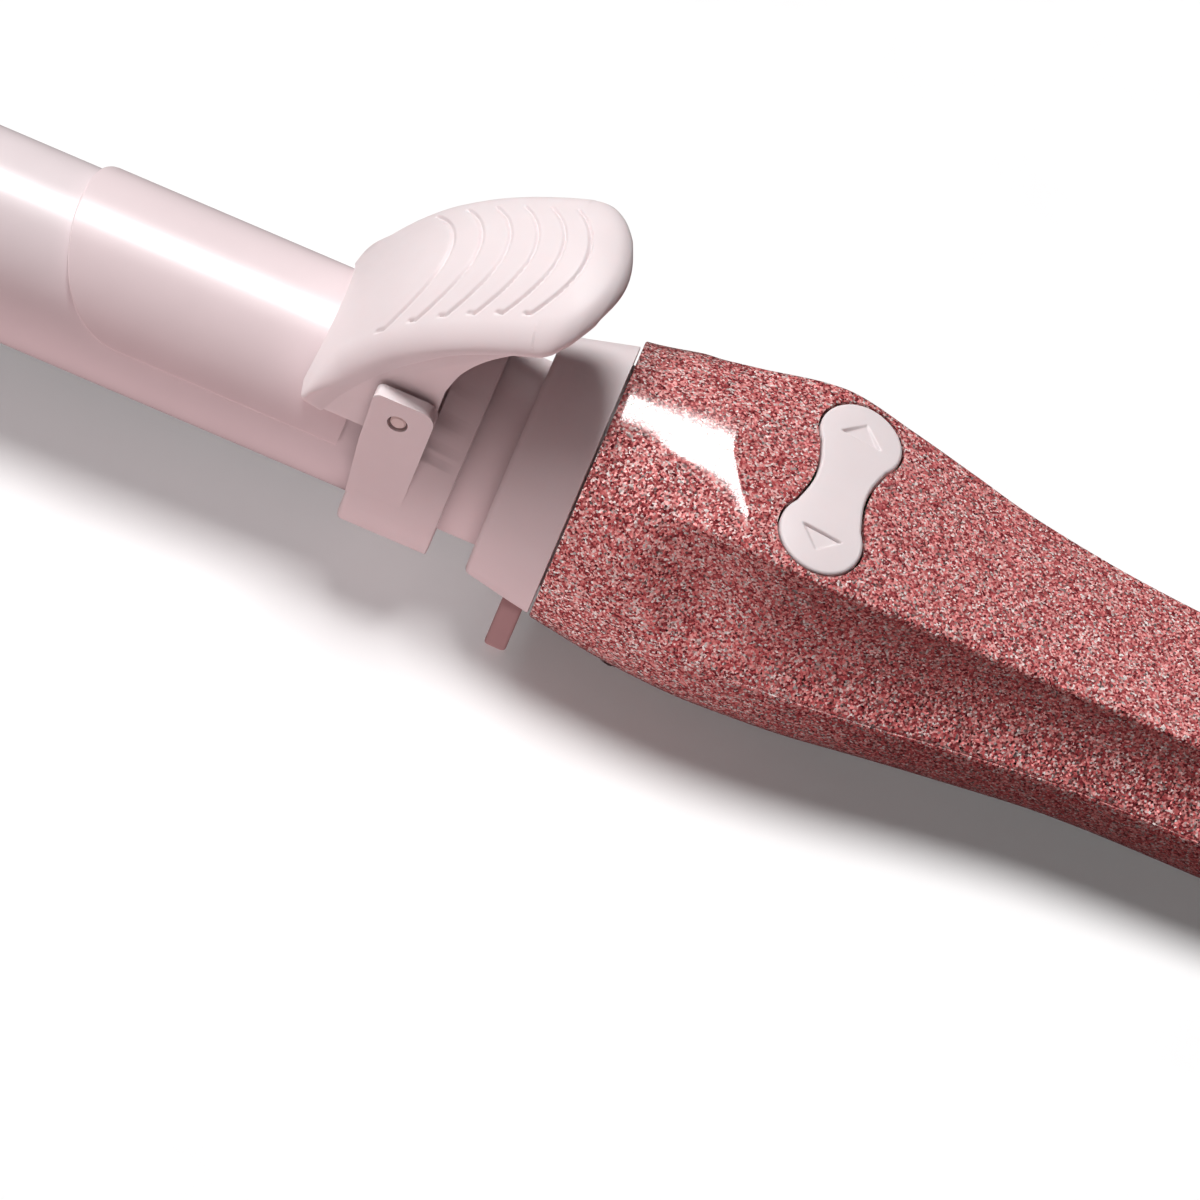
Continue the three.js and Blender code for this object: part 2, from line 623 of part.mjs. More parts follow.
// Rounded plug in the handle's rear with a spigot inside the shells.
function rearEndCap() {
  const rows = [[178.6, 2.8], [shellRear, 2.8], [shellRear + gap, 0], [185, 0.35], [187.5, 1.3],
    [189, 2.5], [capRear, 4.4]];
  const rings = rows.map(([x, inset]) => [
    ...upperOutline(Math.min(x, shellRear), inset, 6),
    ...lowerOutline(Math.min(x, shellRear), inset, 6).reverse().slice(1, -1),
  ].map(([y, z]) => new THREE.Vector3(x, y, z)));
  const bore = rod(150, 200, 5.35, 20).translate(0, 0, swivelZ);
  return fromSolid(cut(toSolid(lofted(rings)), toSolid(bore), underFloor()));
}

// Cord swivel: captive bush through the end cap, open right through for the cord.
function cordSwivel() {
  const profile = [[176, swivelBore], [176, 7], [178, 7], [178, 5], [capRear + 0.5, 5], [capRear + 0.5, 6.4],
    [193, 6.4], [199.4, 5], [200, 4.6], [200, swivelBore]];
  return turned(profile, 20).translate(0, 0, swivelZ);
}

// ---------------------------------------------------------------- inside the handle
const gearboxX = 32;
const motorX = 46.3;
function gearbox() {
  return fromSolid(cut(toSolid(turned([[gearboxX, 0], [gearboxX, 8.6], [33, 9.5], [46, 9.5], [46, 0]], 18)),
    toSolid(rod(30, 38, 2.4, 16))));
}

function driveMotor() {
  return turned([[motorX, 0], [motorX, 8], [64.5, 8], [65.5, 7.2], [65.5, 3], [67, 3], [67, 0]], 16);
}

function motorCradle() {
  const ring = toSolid(sleeve(36, 62, 9.9, 11.6, 24));
  return fromSolid(cut(ring, toSolid(box(30, 70, -20, 20, -3, 20))));
}

const brushX = slipRingX.map((x) => x + 1.25);
const [brushHalfX, brushHalfY, brushBottom] = [0.9, 1.6, -13.4];
const brush = (x) => box(x - brushHalfX, x + brushHalfX, -brushHalfY, brushHalfY,
  brushBottom, -hubR - 1.5 - gap);

function brushHolder() {
  const [slotX, slotY] = [brushHalfX + gap, brushHalfY + gap];
  const slots = brushX.map((x) => toSolid(box(x - slotX, x + slotX, -slotY, slotY, -20, 0)));
  return fromSolid(cut(toSolid(box(3.4, 18.2, -5, 5, brushBottom - 0.6, -9.6)), ...slots));
}

const rockerBoardZ = 12.4;
const rockerBoard = () => box(rockerX - 9, rockerX + 6, -11.4, 11.4, rockerBoardZ, rockerBoardZ + 1.4);

// Square push switch with a round plunger on top.
function tactSwitch(x, y, z, height) {
  const body = toSolid(box(x - 3, x + 3, y - 3, y + 3, z, z + height - 0.7));
  const plunger = toSolid(post(x, y, z + height - 1, z + height, 1.7, 10));
  return fromSolid(joined(body, plunger));
}

const boardThickness = 1.6;
const boardTop = boardZ + boardThickness + gap;
const mainBoard = () => box(84, 157, -9, 9, boardZ, boardTop - gap);
const transformer = () => box(86, 101, -7, 7, -8, boardZ - gap);
const capacitor = () => rod(106, 126, 5, 20).translate(0, 0, boardZ - gap - 5.2);
const powerSwitchChip = () => box(132, 142, -2.2, 2.2, -9, boardZ - gap);
const displayModule = () => box(windowX - 9, windowX + 9, -6, 6, boardTop, 9.6);

function topButton(x) {
  const ceiling = along(handleStations, x)[2];
  const stem = toSolid(post(x, 0, 9, ceiling + 0.5, buttonR, 20));
  const flange = toSolid(post(x, 0, 9, 9.7, buttonR + 1, 20));
  return fromSolid(joined(stem, flange));
}

function displayWindow() {
  const depth = 1.6;
  const top = along(handleStations, windowX)[2] - 0.25;
  const shape = new THREE.Shape();
  shape.moveTo(-4.7, top - depth);
  shape.lineTo(-4.7, top - 0.35);
  shape.quadraticCurveTo(0, top + 0.35, 4.7, top - 0.35);
  shape.lineTo(4.7, top - depth);
  const options = { depth: 15.4, bevelEnabled: false, curveSegments: 8 };
  return new THREE.ExtrudeGeometry(shape, options)
    .rotateX(Math.PI / 2).rotateZ(Math.PI / 2).translate(windowX - 7.7, 0, 0);
}

// ---------------------------------------------------------------- assembly
const iron = new THREE.Group();
function add(name, geometry, material) {
  const mesh = new THREE.Mesh(cleaned(geometry), material);
  mesh.geometry.computeVertexNormals();
  mesh.name = name;
  iron.add(mesh);
}

// handle
add('handle_upper_shell', upperShell(), glitter);
add('handle_lower_shell', lowerShell(), glitter);
add('front_collar', frontCollar(), pink);
add('front_bush', frontBush(), brass);
add('rear_end_cap', rearEndCap(), pink);
add('gearbox', gearbox(), steel);
add('drive_motor', driveMotor(), steel);
add('motor_cradle', motorCradle(), blackPlastic);
add('brush_holder', brushHolder(), blackPlastic);
brushX.forEach((x, i) => add(`slip_brush_${i + 1}`, brush(x), carbon));
add('rocker_board', rockerBoard(), board);
['left', 'right'].forEach((side, i) => add(`rocker_switch_${side}`,
  tactSwitch(rockerX, rockerLobeY * (1 - 2 * i), rockerBoardZ + 1.4 + gap, 2.6), blackPlastic));
add('main_board', mainBoard(), board);
add('transformer', transformer(), blackPlastic);
add('smoothing_capacitor', capacitor(), aluminium);
add('heater_triac', powerSwitchChip(), blackPlastic);
add('power_switch', tactSwitch(powerButtonX, 0, boardTop, 3.3), blackPlastic);
add('heat_switch', tactSwitch(heatButtonX, 0, boardTop, 3.3), blackPlastic);
add('display_module', displayModule(), blackPlastic);
add('display_window', displayWindow(), darkLens);
for (const [place, xy] of Object.entries(screwPlaces)) add(`shell_screw_${place}`, shellScrew(xy), steel);

// barrel
add('barrel_tube', barrelTube(), heatedSteel);
add('tip_cap', tipCap(), pink);
add('heater_core', heaterCore(), ceramic);
add('heat_spreader_upper', heatSpreader(1), aluminium);
add('heat_spreader_lower', heatSpreader(-1), aluminium);
add('thermistor', thermistor(), ceramic);
add('neck_sleeve', neckSleeve(), pink);
add('hinge_bracket', hingeBracket(), pink);
add('hinge_pin', hingePin(), steel);
add('torsion_spring', torsionSpring(), steel);
bracketScrewAngles.forEach((angle, i) =>
  add(`bracket_screw_${i + 1}`, radialScrew(angle, 1, 1.9), steel));
slipRingX.forEach((x, i) => add(`slip_ring_${i + 1}`, slipRing(x), brass));
add('drive_coupling', driveCoupling(), blackPlastic);
add('output_shaft', outputShaft(), steel);

// clamp
add('clamp_plate', clampPlate(), heatedSteel);
add('thumb_lever', thumbLever(), pink);
add('clamp_rivet_left', clampRivet(1), steel);
add('clamp_rivet_right', clampRivet(-1), steel);

// controls and cord swivel
add('rocker_button', rockerButton(), pink);
add('power_button', topButton(powerButtonX), pink);
add('heat_button', topButton(heatButtonX), pink);
add('cord_swivel', cordSwivel(), blackPlastic);

// Stand the iron on its foot and heel, with the origin under the middle of its box.
iron.rotation.y = tilt;
const whole = new THREE.Group();
whole.add(iron);
whole.updateMatrixWorld(true);
const bounds = new THREE.Box3().setFromObject(whole, true);
const middle = bounds.getCenter(new THREE.Vector3());
iron.position.set(-middle.x, -middle.y, -bounds.min.z);

export default whole;
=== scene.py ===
"""Looks of a rotating curling iron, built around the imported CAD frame.

Pieces are drawn in millimetres in the iron's own axes, as the CAD part is: X along the barrel with the
tip at -X and the joint between collar and handle at x = 0, Z up through the thumb lever.
"""
import json
import math

import bmesh
import bpy
import numpy as np
from mathutils import Matrix, Vector

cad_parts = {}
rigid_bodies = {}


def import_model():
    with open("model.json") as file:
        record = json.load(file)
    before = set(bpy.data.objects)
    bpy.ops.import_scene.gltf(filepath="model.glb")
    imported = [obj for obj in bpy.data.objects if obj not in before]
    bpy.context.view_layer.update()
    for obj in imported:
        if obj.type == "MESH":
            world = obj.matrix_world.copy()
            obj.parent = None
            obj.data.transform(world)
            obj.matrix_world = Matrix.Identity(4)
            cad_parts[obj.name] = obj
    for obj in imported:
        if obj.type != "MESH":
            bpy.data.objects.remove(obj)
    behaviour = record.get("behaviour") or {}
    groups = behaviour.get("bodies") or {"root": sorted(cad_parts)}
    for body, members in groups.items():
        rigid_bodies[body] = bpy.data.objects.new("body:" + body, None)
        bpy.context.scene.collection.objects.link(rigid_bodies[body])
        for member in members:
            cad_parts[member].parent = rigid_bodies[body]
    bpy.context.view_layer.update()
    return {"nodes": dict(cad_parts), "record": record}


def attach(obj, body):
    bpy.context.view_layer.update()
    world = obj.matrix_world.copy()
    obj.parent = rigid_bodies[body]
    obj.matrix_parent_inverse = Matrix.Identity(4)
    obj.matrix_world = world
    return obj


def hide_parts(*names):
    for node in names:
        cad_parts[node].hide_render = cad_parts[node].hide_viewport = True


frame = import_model()

# ------------------------------------------------------------------ the iron's own axes, from the frame
joints = {j["name"]: j for j in frame["record"]["behaviour"]["joints"]}
origin = np.array(joints["barrel_spin"]["pos_m"])
along_x = np.array(joints["barrel_spin"]["axis"]) / np.linalg.norm(joints["barrel_spin"]["axis"])
across_y = np.array([0.0, 1.0, 0.0])
upright_z = np.cross(along_x, across_y)
MM = 0.001


def to_row(points):
    """Points in the iron's axes, in millimetres, as points of the row frame, in metres."""
    p = np.asarray(points, float) * MM
    return origin + p[:, :1] * along_x + p[:, 1:2] * across_y + p[:, 2:3] * upright_z


def to_iron(point):
    """A point of the row frame, in metres, in the iron's axes, in millimetres."""
    d = (np.asarray(point, float) - origin) / MM
    return np.array([d @ along_x, d @ across_y, d @ upright_z])


# ------------------------------------------------------------------ driving dimensions, millimetres
BARREL_R = 12.7
BARREL_FRONT = -152.0
BARREL_REAR = -20.9
TIP_END = -163.0
SPIGOT_R = BARREL_R - 1.1                       # tip cap and neck where they enter the barrel
NECK_R = 12.6
CLAMP_R = 13.6
CLAMP_THICK = 0.6
CLAMP_FRONT = -72.4
CLAMP_TONGUE = 12.0
CLAMP_REAR = -30.5
CLAMP_HALF_ANGLE = math.radians(76.6)

PIN = to_iron(joints["clamp_hinge"]["pos_m"])
PIN_X, PIN_Z = float(PIN[0]), float(PIN[2])
PIN_R = 1.2

LEVER_HALF = 13.7
LEVER_ROUND = -13.8
LEVER_END = -4.0
LEVER_LINE = [(-39.2, 6), (-38.2, 10.4), (-37.1, 13.9), (-35.8, 17.1), (-34.3, 20.4), (-32.5, 23.8),
              (-30.4, 27.1), (-27.4, 30.5), (-23.5, 33.7), (-19.8, 36.2), (-16.8, 37.9), (-13.7, 39.4),
              (-10.6, 40.3), (-7.9, 40.5), (-5.6, 40.2), (-4, 39.6)]
GROOVES = 6
GROOVE_PITCH = 3.25
GROOVE_DEPTH = 0.4
WEB_OUTER = 13.45
WEB_THICK = 1.5
WEB_BOTTOM = 9.1
WEB_REAR = -20.3
WEB_TOP_Z = 21.5                                # where the web's rear edge starts to curve up

BRACKET_R = 16.2
BRACKET_BORE = 12.95
BRACKET_FRONT = -27.2
RING_FRONT = -20.0
RING_REAR = -14.8
EAR_INNER = 14.2
EAR_TOP = 19.3

COLLAR_FRONT = -9.5
COLLAR_BORE = 14.2
FOOT_FRONT = -3.7
FOOT_REAR = -0.8
FOOT_HALF = 11.4
FOOT_TOP = -14.4                                # inside the collar's wall, clear of the turning neck

SHELL_FRONT = 0.3
SHELL_REAR = 182.0
SHELL_WALL = 2.2
CAP_REAR = 190.0

ROCKER_X = 30.2
LOBE_Y = 8.6
LOBE_R = 5.6
WAIST = 3.55
ROCKER_GAP = 0.28
ROCKER_BOTTOM = 17.7

POWER_X = 112.0
HEAT_X = 124.0
KEY_R = 3.5
WINDOW_X = 143.0
WINDOW_HALF = (8.0, 5.0)                        # of the opening; the cover is 0.3 smaller all round

SCREWS = [(12, 12.5), (12, -12.5), (76, 0), (162, 0)]
SWIVEL_Z = -1.0
SWIVEL_BORE = 3.75

# handle: x, half width, depth, height on the centre line, ridge y, ridge z
HANDLE = np.array([
    (0, 18.3, 16.6, 19.3, 11.6, 15.4),
    (10, 19.6, 18.1, 19.9, 13.6, 17.2),
    (20, 20.4, 18.5, 20.1, 14.9, 18.65),
    (27, 20.4, 18.1, 19.9, 15.7, 18.9),
    (36, 19.8, 17.5, 18.6, 14.75, 17.5),
    (45, 18.7, 16.4, 17.0, 13.5, 16.0),
    (55, 17.1, 16.0, 15.4, 12.1, 14.3),
    (70, 15.3, 15.1, 13.7, 10.8, 12.75),
    (87, 14.9, 14.9, 12.8, 10.2, 11.9),
    (120, 15.2, 15.1, 13.0, 10.3, 12.0),
    (150, 16.6, 16.3, 14.2, 11.3, 13.1),
    (172, 16.8, 16.9, 14.5, 11.6, 13.4),
    (182, 15.8, 15.8, 13.8, 10.8, 12.8),
])
RIDGE_SHARE = 0.6                               # part of the upper outline that lies below the ridge
RIDGE_ANGLE = math.radians(52)
OVAL_POWER = 2.3                                # squareness of the oval upper outline at the collar
OVAL_GAIN = 0.6                                 # added to it over the first OVAL_RUN millimetres
OVAL_RUN = 16
RIDGE_START, RIDGE_FULL = 7, 22                 # the oval outline turns into the ridged one between these x
LOWER_POWER = 2.2                               # squareness of the lower outline
EDGE_SOFTNESS = 0.9
SEAM_HALF_GAP = 0.03

# collar: x, half width, depth, height
COLLAR = np.array([
    (-9.5, 16.2, 16.1, 16.3),
    (-4.5, 17.3, 16.9, 17.9),
    (0, 18.3, 17.4, 19.3),
])


# ------------------------------------------------------------------ curves through table rows
def along(table, x):
    """Smooth values of a table at x, with slopes taken from the neighbouring rows."""
    xs = table[:, 0]
    i = int(np.clip(np.searchsorted(xs, x, side="right") - 1, 0, len(xs) - 2))

    def slope(k):
        low, high = max(k - 1, 0), min(k + 1, len(xs) - 1)
        return (table[high, 1:] - table[low, 1:]) / (xs[high] - xs[low])

    span = xs[i + 1] - xs[i]
    t = float(np.clip((x - xs[i]) / span, 0, 1))
    blend = (2 * t**3 - 3 * t**2 + 1, t**3 - 2 * t**2 + t, 3 * t**2 - 2 * t**3, t**3 - t**2)
    return (blend[0] * table[i, 1:] + blend[1] * slope(i) * span
            + blend[2] * table[i + 1, 1:] + blend[3] * slope(i + 1) * span)


def bezier(t, start, first, second, end):
    return (1 - t) ** 3 * start + 3 * (1 - t) ** 2 * t * first + 3 * (1 - t) * t**2 * second + t**3 * end


def smoothstep(x, low, high):
    t = np.clip((np.asarray(x, float) - low) / (high - low), 0, 1)
    return t * t * (3 - 2 * t)


def lengths_along(points):
    """Length of a polyline up to each of its points."""
    return np.concatenate([[0], np.cumsum(np.linalg.norm(np.diff(points, axis=0), axis=1))])


def evenly_spaced(points, samples):
    """A 2-D polyline as evenly spaced points."""
    length = lengths_along(points)
    even = np.linspace(0, length[-1], samples)
    return np.column_stack([np.interp(even, length, points[:, k]) for k in range(2)])


def spline(points, samples):
    """A smooth curve through 2-D points, as evenly spaced samples."""
    p = np.array(points, float)
    chord = lengths_along(p)
    table = np.column_stack([chord, p])
    dense = np.array([along(table, s) for s in np.linspace(0, chord[-1], samples * 4)])
    return evenly_spaced(dense, samples)


def full_turn(count):
    """Evenly spaced angles once round."""
    return np.linspace(0, 2 * math.pi, count, endpoint=False)


# ------------------------------------------------------------------ mesh building
def grid_faces(rows, columns, wrap_rows=False, wrap_columns=False):
    """Quads over a grid of points stored row by row."""
    r = np.arange(rows if wrap_rows else rows - 1)
    c = np.arange(columns if wrap_columns else columns - 1)
    r, c = np.meshgrid(r, c, indexing="ij")
    r2, c2 = (r + 1) % rows, (c + 1) % columns
    quads = np.stack([r * columns + c, r * columns + c2, r2 * columns + c2, r2 * columns + c], -1)
    return quads.reshape(-1, 4).tolist()


def added(name, data):
    """A new object with this data, linked into the scene."""
    made = bpy.data.objects.new(name, data)
    bpy.context.scene.collection.objects.link(made)
    return made


def shade_with_edges(mesh, sharp):
    """Smooth shading, broken at edges sharper than an angle in degrees."""
    mesh.shade_smooth()
    mesh.set_sharp_from_angle(angle=math.radians(sharp))


def mesh_object(name, points, faces, sharp=40):
    """A shaded mesh object in the row frame from points in the iron's axes."""
    mesh = bpy.data.meshes.new(name)
    mesh.from_pydata(to_row(points).tolist(), [], faces)
    tidy = bmesh.new()
    tidy.from_mesh(mesh)
    bmesh.ops.remove_doubles(tidy, verts=tidy.verts, dist=0.002 * MM)
    bmesh.ops.dissolve_degenerate(tidy, edges=tidy.edges, dist=0.001 * MM)
    bmesh.ops.recalc_face_normals(tidy, faces=tidy.faces)
    if tidy.calc_volume(signed=True) < 0:
        bmesh.ops.reverse_faces(tidy, faces=tidy.faces)
    tidy.to_mesh(mesh)
    tidy.free()
    shade_with_edges(mesh, sharp)
    return added(name, mesh)


def dress(made, material, body, slot, *nodes):
    """Gives a piece its material and body and hides the CAD nodes it stands for; the slot is not used."""
    made.data.materials.clear()
    made.data.materials.append(material)
    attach(made, body)
    if nodes:
        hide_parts(*nodes)
    return made


def apply_modifiers(made):
    """Leaves the piece's final mesh with no modifiers on it."""
    ready = made.evaluated_get(bpy.context.evaluated_depsgraph_get())
    final = bpy.data.meshes.new_from_object(ready)
    made.modifiers.clear()
    made.data = final


def rounded_profile(corners, steps=5):
    """Profile points with rounded corners; each corner is (x, r, radius)."""
    out = []
    count = len(corners)
    for i, (x, r, radius) in enumerate(corners):
        here = np.array([x, r], float)
        if radius <= 0:
            out.append(here)
            continue
        before = np.array(corners[i - 1][:2], float) - here
        after = np.array(corners[(i + 1) % count][:2], float) - here
        before, after = before / np.linalg.norm(before), after / np.linalg.norm(after)
        half = math.acos(float(np.clip(before @ after, -1, 1))) / 2
        reach = radius / math.tan(half)
        start, end = here + before * reach, here + after * reach
        for t in np.linspace(0, 1, steps + 1):
            out.append((1 - t) ** 2 * start + 2 * t * (1 - t) * here + t**2 * end)
    return np.array(out)


def turned(name, profile, segments=128, centre=(0, 0), closed=True, sharp=40):
    """A piece turned about the X direction through centre (y, z) from profile points (x, radius)."""
    profile = np.asarray(profile, float)
    angles = full_turn(segments)
    x = np.repeat(profile[None, :, 0], segments, 0)
    y = centre[0] + np.cos(angles)[:, None] * profile[None, :, 1]
    z = centre[1] + np.sin(angles)[:, None] * profile[None, :, 1]
    points = np.stack([x, y, z], -1).reshape(-1, 3)
    faces = grid_faces(segments, len(profile), wrap_rows=True, wrap_columns=closed)
    return mesh_object(name, points, faces, sharp=sharp)


def arc_points(radius, start, end, count):
    angles = np.linspace(start, end, count)
    return np.column_stack([radius * np.cos(angles), radius * np.sin(angles)])


def cube(name, xs, ys, zs):
    points = [(x, y, z) for x in xs for y in ys for z in zs]
    faces = [[0, 1, 3, 2], [4, 6, 7, 5], [0, 4, 5, 1], [2, 3, 7, 6], [0, 2, 6, 4], [1, 5, 7, 3]]
    return mesh_object(name, points, faces)


def cross_rod(name, x, z, y0, y1, radius, segments=32, edge=0.0):
    """A round rod along Y, with its ends rounded by edge."""
    profile = [(y0, 0), (y0, radius - edge), (y0 + edge, radius),
               (y1 - edge, radius), (y1, radius - edge), (y1, 0)]
    profile = np.array([p for i, p in enumerate(profile) if i == 0 or p != profile[i - 1]])
    angles = full_turn(segments)
    points = [(x + r * math.cos(a), y, z + r * math.sin(a)) for a in angles for y, r in profile]
    return mesh_object(name, points, grid_faces(segments, len(profile), wrap_rows=True), sharp=30)


def rounded_rectangle(x, half_x, half_y, radius, steps=7):
    """A closed outline centred at (x, 0)."""
    points = []
    for sx, sy, start in ((1, 1, 0), (-1, 1, 90), (-1, -1, 180), (1, -1, 270)):
        centre = np.array([x + sx * (half_x - radius), sy * (half_y - radius)])
        points.append(centre + arc_points(radius, math.radians(start), math.radians(start + 90), steps))
    return np.concatenate(points)


def slab(name, outline, axis, levels):
    """A closed solid between two copies of an outline, at two levels along one axis (0, 1 or 2)."""
    points = np.concatenate([np.insert(np.asarray(outline, float), axis, level, axis=1) for level in levels])
    n = len(outline)
    sides = [[i, (i + 1) % n, n + (i + 1) % n, n + i] for i in range(n)]
    return mesh_object(name, points, [list(range(n)), list(range(n, 2 * n)), *sides])


def placed(x, loop):
    """A loop of (y, z) points, set at x."""
    return np.column_stack([np.full(len(loop), x), loop])


def ring_solid(name, rings, sharp=50):
    """A solid over rings of points that run along its outside and back along its inside."""
    return mesh_object(name, np.concatenate(rings), grid_faces(len(rings), len(rings[0]), True, True), sharp)


def cut_hole(made, outline, low, high):
    """Cuts an upright hole with this outline through a piece, between two heights."""
    return combine(made, slab("hole", outline, 2, (low, high)), "DIFFERENCE")


def between_grids(name, top, bottom, rows, columns, sharp):
    """A closed solid between two matching grids of points."""
    faces = grid_faces(rows, columns)
    under = (np.array(faces) + len(top)).tolist()
    first = np.arange(columns)
    border = np.concatenate([first, np.arange(1, rows) * columns + columns - 1,
                             (rows - 1) * columns + first[-2::-1],
                             np.arange(rows - 2, 0, -1) * columns]).tolist()
    walls = [[a, b, b + len(top), a + len(top)] for a, b in zip(border, border[1:] + border[:1])]
    return mesh_object(name, np.concatenate([top, bottom]), faces + under + walls, sharp=sharp)


def round_over(inset, edge):
    """Drop of a face at a distance in from its rim, for a quarter-round rim of radius edge."""
    return edge - np.sqrt(np.maximum(edge**2 - np.clip(edge - inset, 0, edge) ** 2, 0))


def round_edges(made, width, angle=35, segments=3):
    """Bevels the piece's sharp edges and applies the result."""
    bevel = made.modifiers.new("edge", "BEVEL")
    bevel.width = width * MM
    bevel.segments = segments
    bevel.limit_method = "ANGLE"
    bevel.angle_limit = math.radians(angle)
    bevel.harden_normals = False
    bevel.use_clamp_overlap = True
    apply_modifiers(made)
    shade_with_edges(made.data, 60)


def combine(made, other, operation):
    """Boolean of two pieces; the other is used up."""
    tool = made.modifiers.new("boolean", "BOOLEAN")
    tool.operation = operation
    tool.object = other
    tool.solver = "EXACT"
    bpy.context.view_layer.update()
    apply_modifiers(made)
    bpy.data.objects.remove(other)
    shade_with_edges(made.data, 40)
    return made


def joined(name, pieces):
    """Several closed meshes as one piece."""
    whole = bmesh.new()
    for piece in pieces:
        whole.from_mesh(piece.data)
        bpy.data.objects.remove(piece)
    mesh = bpy.data.meshes.new(name)
    whole.to_mesh(mesh)
    whole.free()
    shade_with_edges(mesh, 60)
    return added(name, mesh)


# ------------------------------------------------------------------ materials
def srgb(r, g, b):
    """A colour given as 0-255 display values, in linear light."""
    out = []
    for value in (r, g, b):
        c = value / 255
        out.append(c / 12.92 if c <= 0.04045 else ((c + 0.055) / 1.055) ** 2.4)
    return (*out, 1)


def grey(value):
    return (value, value, value, 1)


def tinted(colour, factor):
    return (*(min(1.0, c * factor) for c in colour[:3]), 1)


def set_inputs(node, values):
    """Sets node inputs by name, with spaces written as underscores."""
    for name, value in values.items():
        node.inputs[name.replace("_", " ")].default_value = value


class Shader:
    """A node material being built around one principled shader."""

    def __init__(self, name):
        self.material = bpy.data.materials.new(name)
        self.material.use_nodes = True
        self.nodes = self.material.node_tree.nodes
        self.links = self.material.node_tree.links
        self.surface = self.nodes["Principled BSDF"]
        self.place = self.nodes.new("ShaderNodeTexCoord").outputs["Object"]

    def set(self, **values):
        set_inputs(self.surface, values)

    def node(self, kind, **values):
        """A new node of one kind, with some inputs set."""
        made = self.nodes.new("ShaderNode" + kind)
        set_inputs(made, values)
        return made

    def noise(self, scale, detail=3.0, roughness=0.55, stretch=None):
        node = self.node("TexNoise", Scale=scale, Detail=detail, Roughness=roughness)
        self.links.new(self.stretched(stretch), node.inputs["Vector"])
        return node.outputs["Fac"]

    def cells(self, scale, stretch=None):
        node = self.node("TexVoronoi", Scale=scale)
        self.links.new(self.stretched(stretch), node.inputs["Vector"])
        return node

    def stretched(self, stretch):
        if stretch is None:
            return self.place
        node = self.node("Mapping", Scale=stretch)
        self.links.new(self.place, node.inputs["Vector"])
        return node.outputs["Vector"]

    def ramp(self, value, stops):
        node = self.node("ValToRGB")
        bar = node.color_ramp
        while len(bar.elements) < len(stops):
            bar.elements.new(0.5)
        for element, (position, colour) in zip(bar.elements, stops):
            element.position = position
            element.color = colour
        self.links.new(value, node.inputs["Fac"])
        return node.outputs["Color"]

    def levels(self, value, low, high, start=0.0, end=1.0):
        node = self.node("MapRange", From_Min=start, From_Max=end, To_Min=low, To_Max=high)
        self.links.new(value, node.inputs["Value"])
        return node.outputs["Result"]

    def mixed(self, operation, *values):
        """One vector math step on sockets or fixed vectors."""
        node = self.node("VectorMath")
        node.operation = operation
        for socket, value in zip(node.inputs, values):
            if isinstance(value, tuple):
                socket.default_value = value
            else:
                self.links.new(value, socket)
        return node.outputs["Vector"]

    def colour(self, value):
        self.links.new(value, self.surface.inputs["Base Color"])

    def roughness(self, value):
        self.links.new(value, self.surface.inputs["Roughness"])

    def two_tone(self, value, colour, dark, light):
        """A base colour that wavers between two shades of one colour."""
        self.colour(self.ramp(value, [(0.3, tinted(colour, dark)), (0.7, tinted(colour, light))]))

    def bump(self, height, strength, distance):
        node = self.node("Bump", Strength=strength, Distance=distance)
        self.links.new(height, node.inputs["Height"])
        self.links.new(node.outputs["Normal"], self.surface.inputs["Normal"])


SKIN_SCALE = 0.35 / 0.00012                     # of the moulded skin, about three bumps per millimetre


def moulded_plastic(name, colour, roughness, variation=0.03):
    """Injection-moulded plastic: a fine skin texture, faint flow marks and uneven gloss."""
    shade = Shader(name)
    flow = shade.noise(90, 2.0, 0.5, (0.5, 1.6, 1.6))
    shade.two_tone(flow, colour, 1 - variation, 1 + variation)
    shade.roughness(shade.levels(shade.noise(420), roughness - 0.05, roughness + 0.06, 0.25, 0.75))
    shade.bump(shade.noise(SKIN_SCALE, 2.0), 0.12, 0.00002)
    shade.set(IOR=1.5)
    return shade


def pink_plastic():
    shade = moulded_plastic("pink_plastic", srgb(227, 216, 217), 0.45, variation=0.015)
    shade.set(Subsurface_Weight=0.1, Subsurface_Scale=0.002, IOR=1.48)
    shade.surface.inputs["Subsurface Radius"].default_value = (1.0, 0.5, 0.45)
    return shade.material


def coated_metal(name, colour):
    """Sprayed ceramic coat on metal: a smooth glossy skin with the faintest orange peel."""
    shade = Shader(name)
    cloud = shade.noise(140, 2.0)
    shade.two_tone(cloud, colour, 0.985, 1.01)
    shade.roughness(shade.levels(shade.noise(60, 1.0), 0.24, 0.27, 0.3, 0.7))
    shade.bump(shade.noise(60, 1.0), 0.05, 0.00005)
    shade.set(Coat_Weight=0.15, Coat_Roughness=0.1, IOR=1.5)
    return shade.material


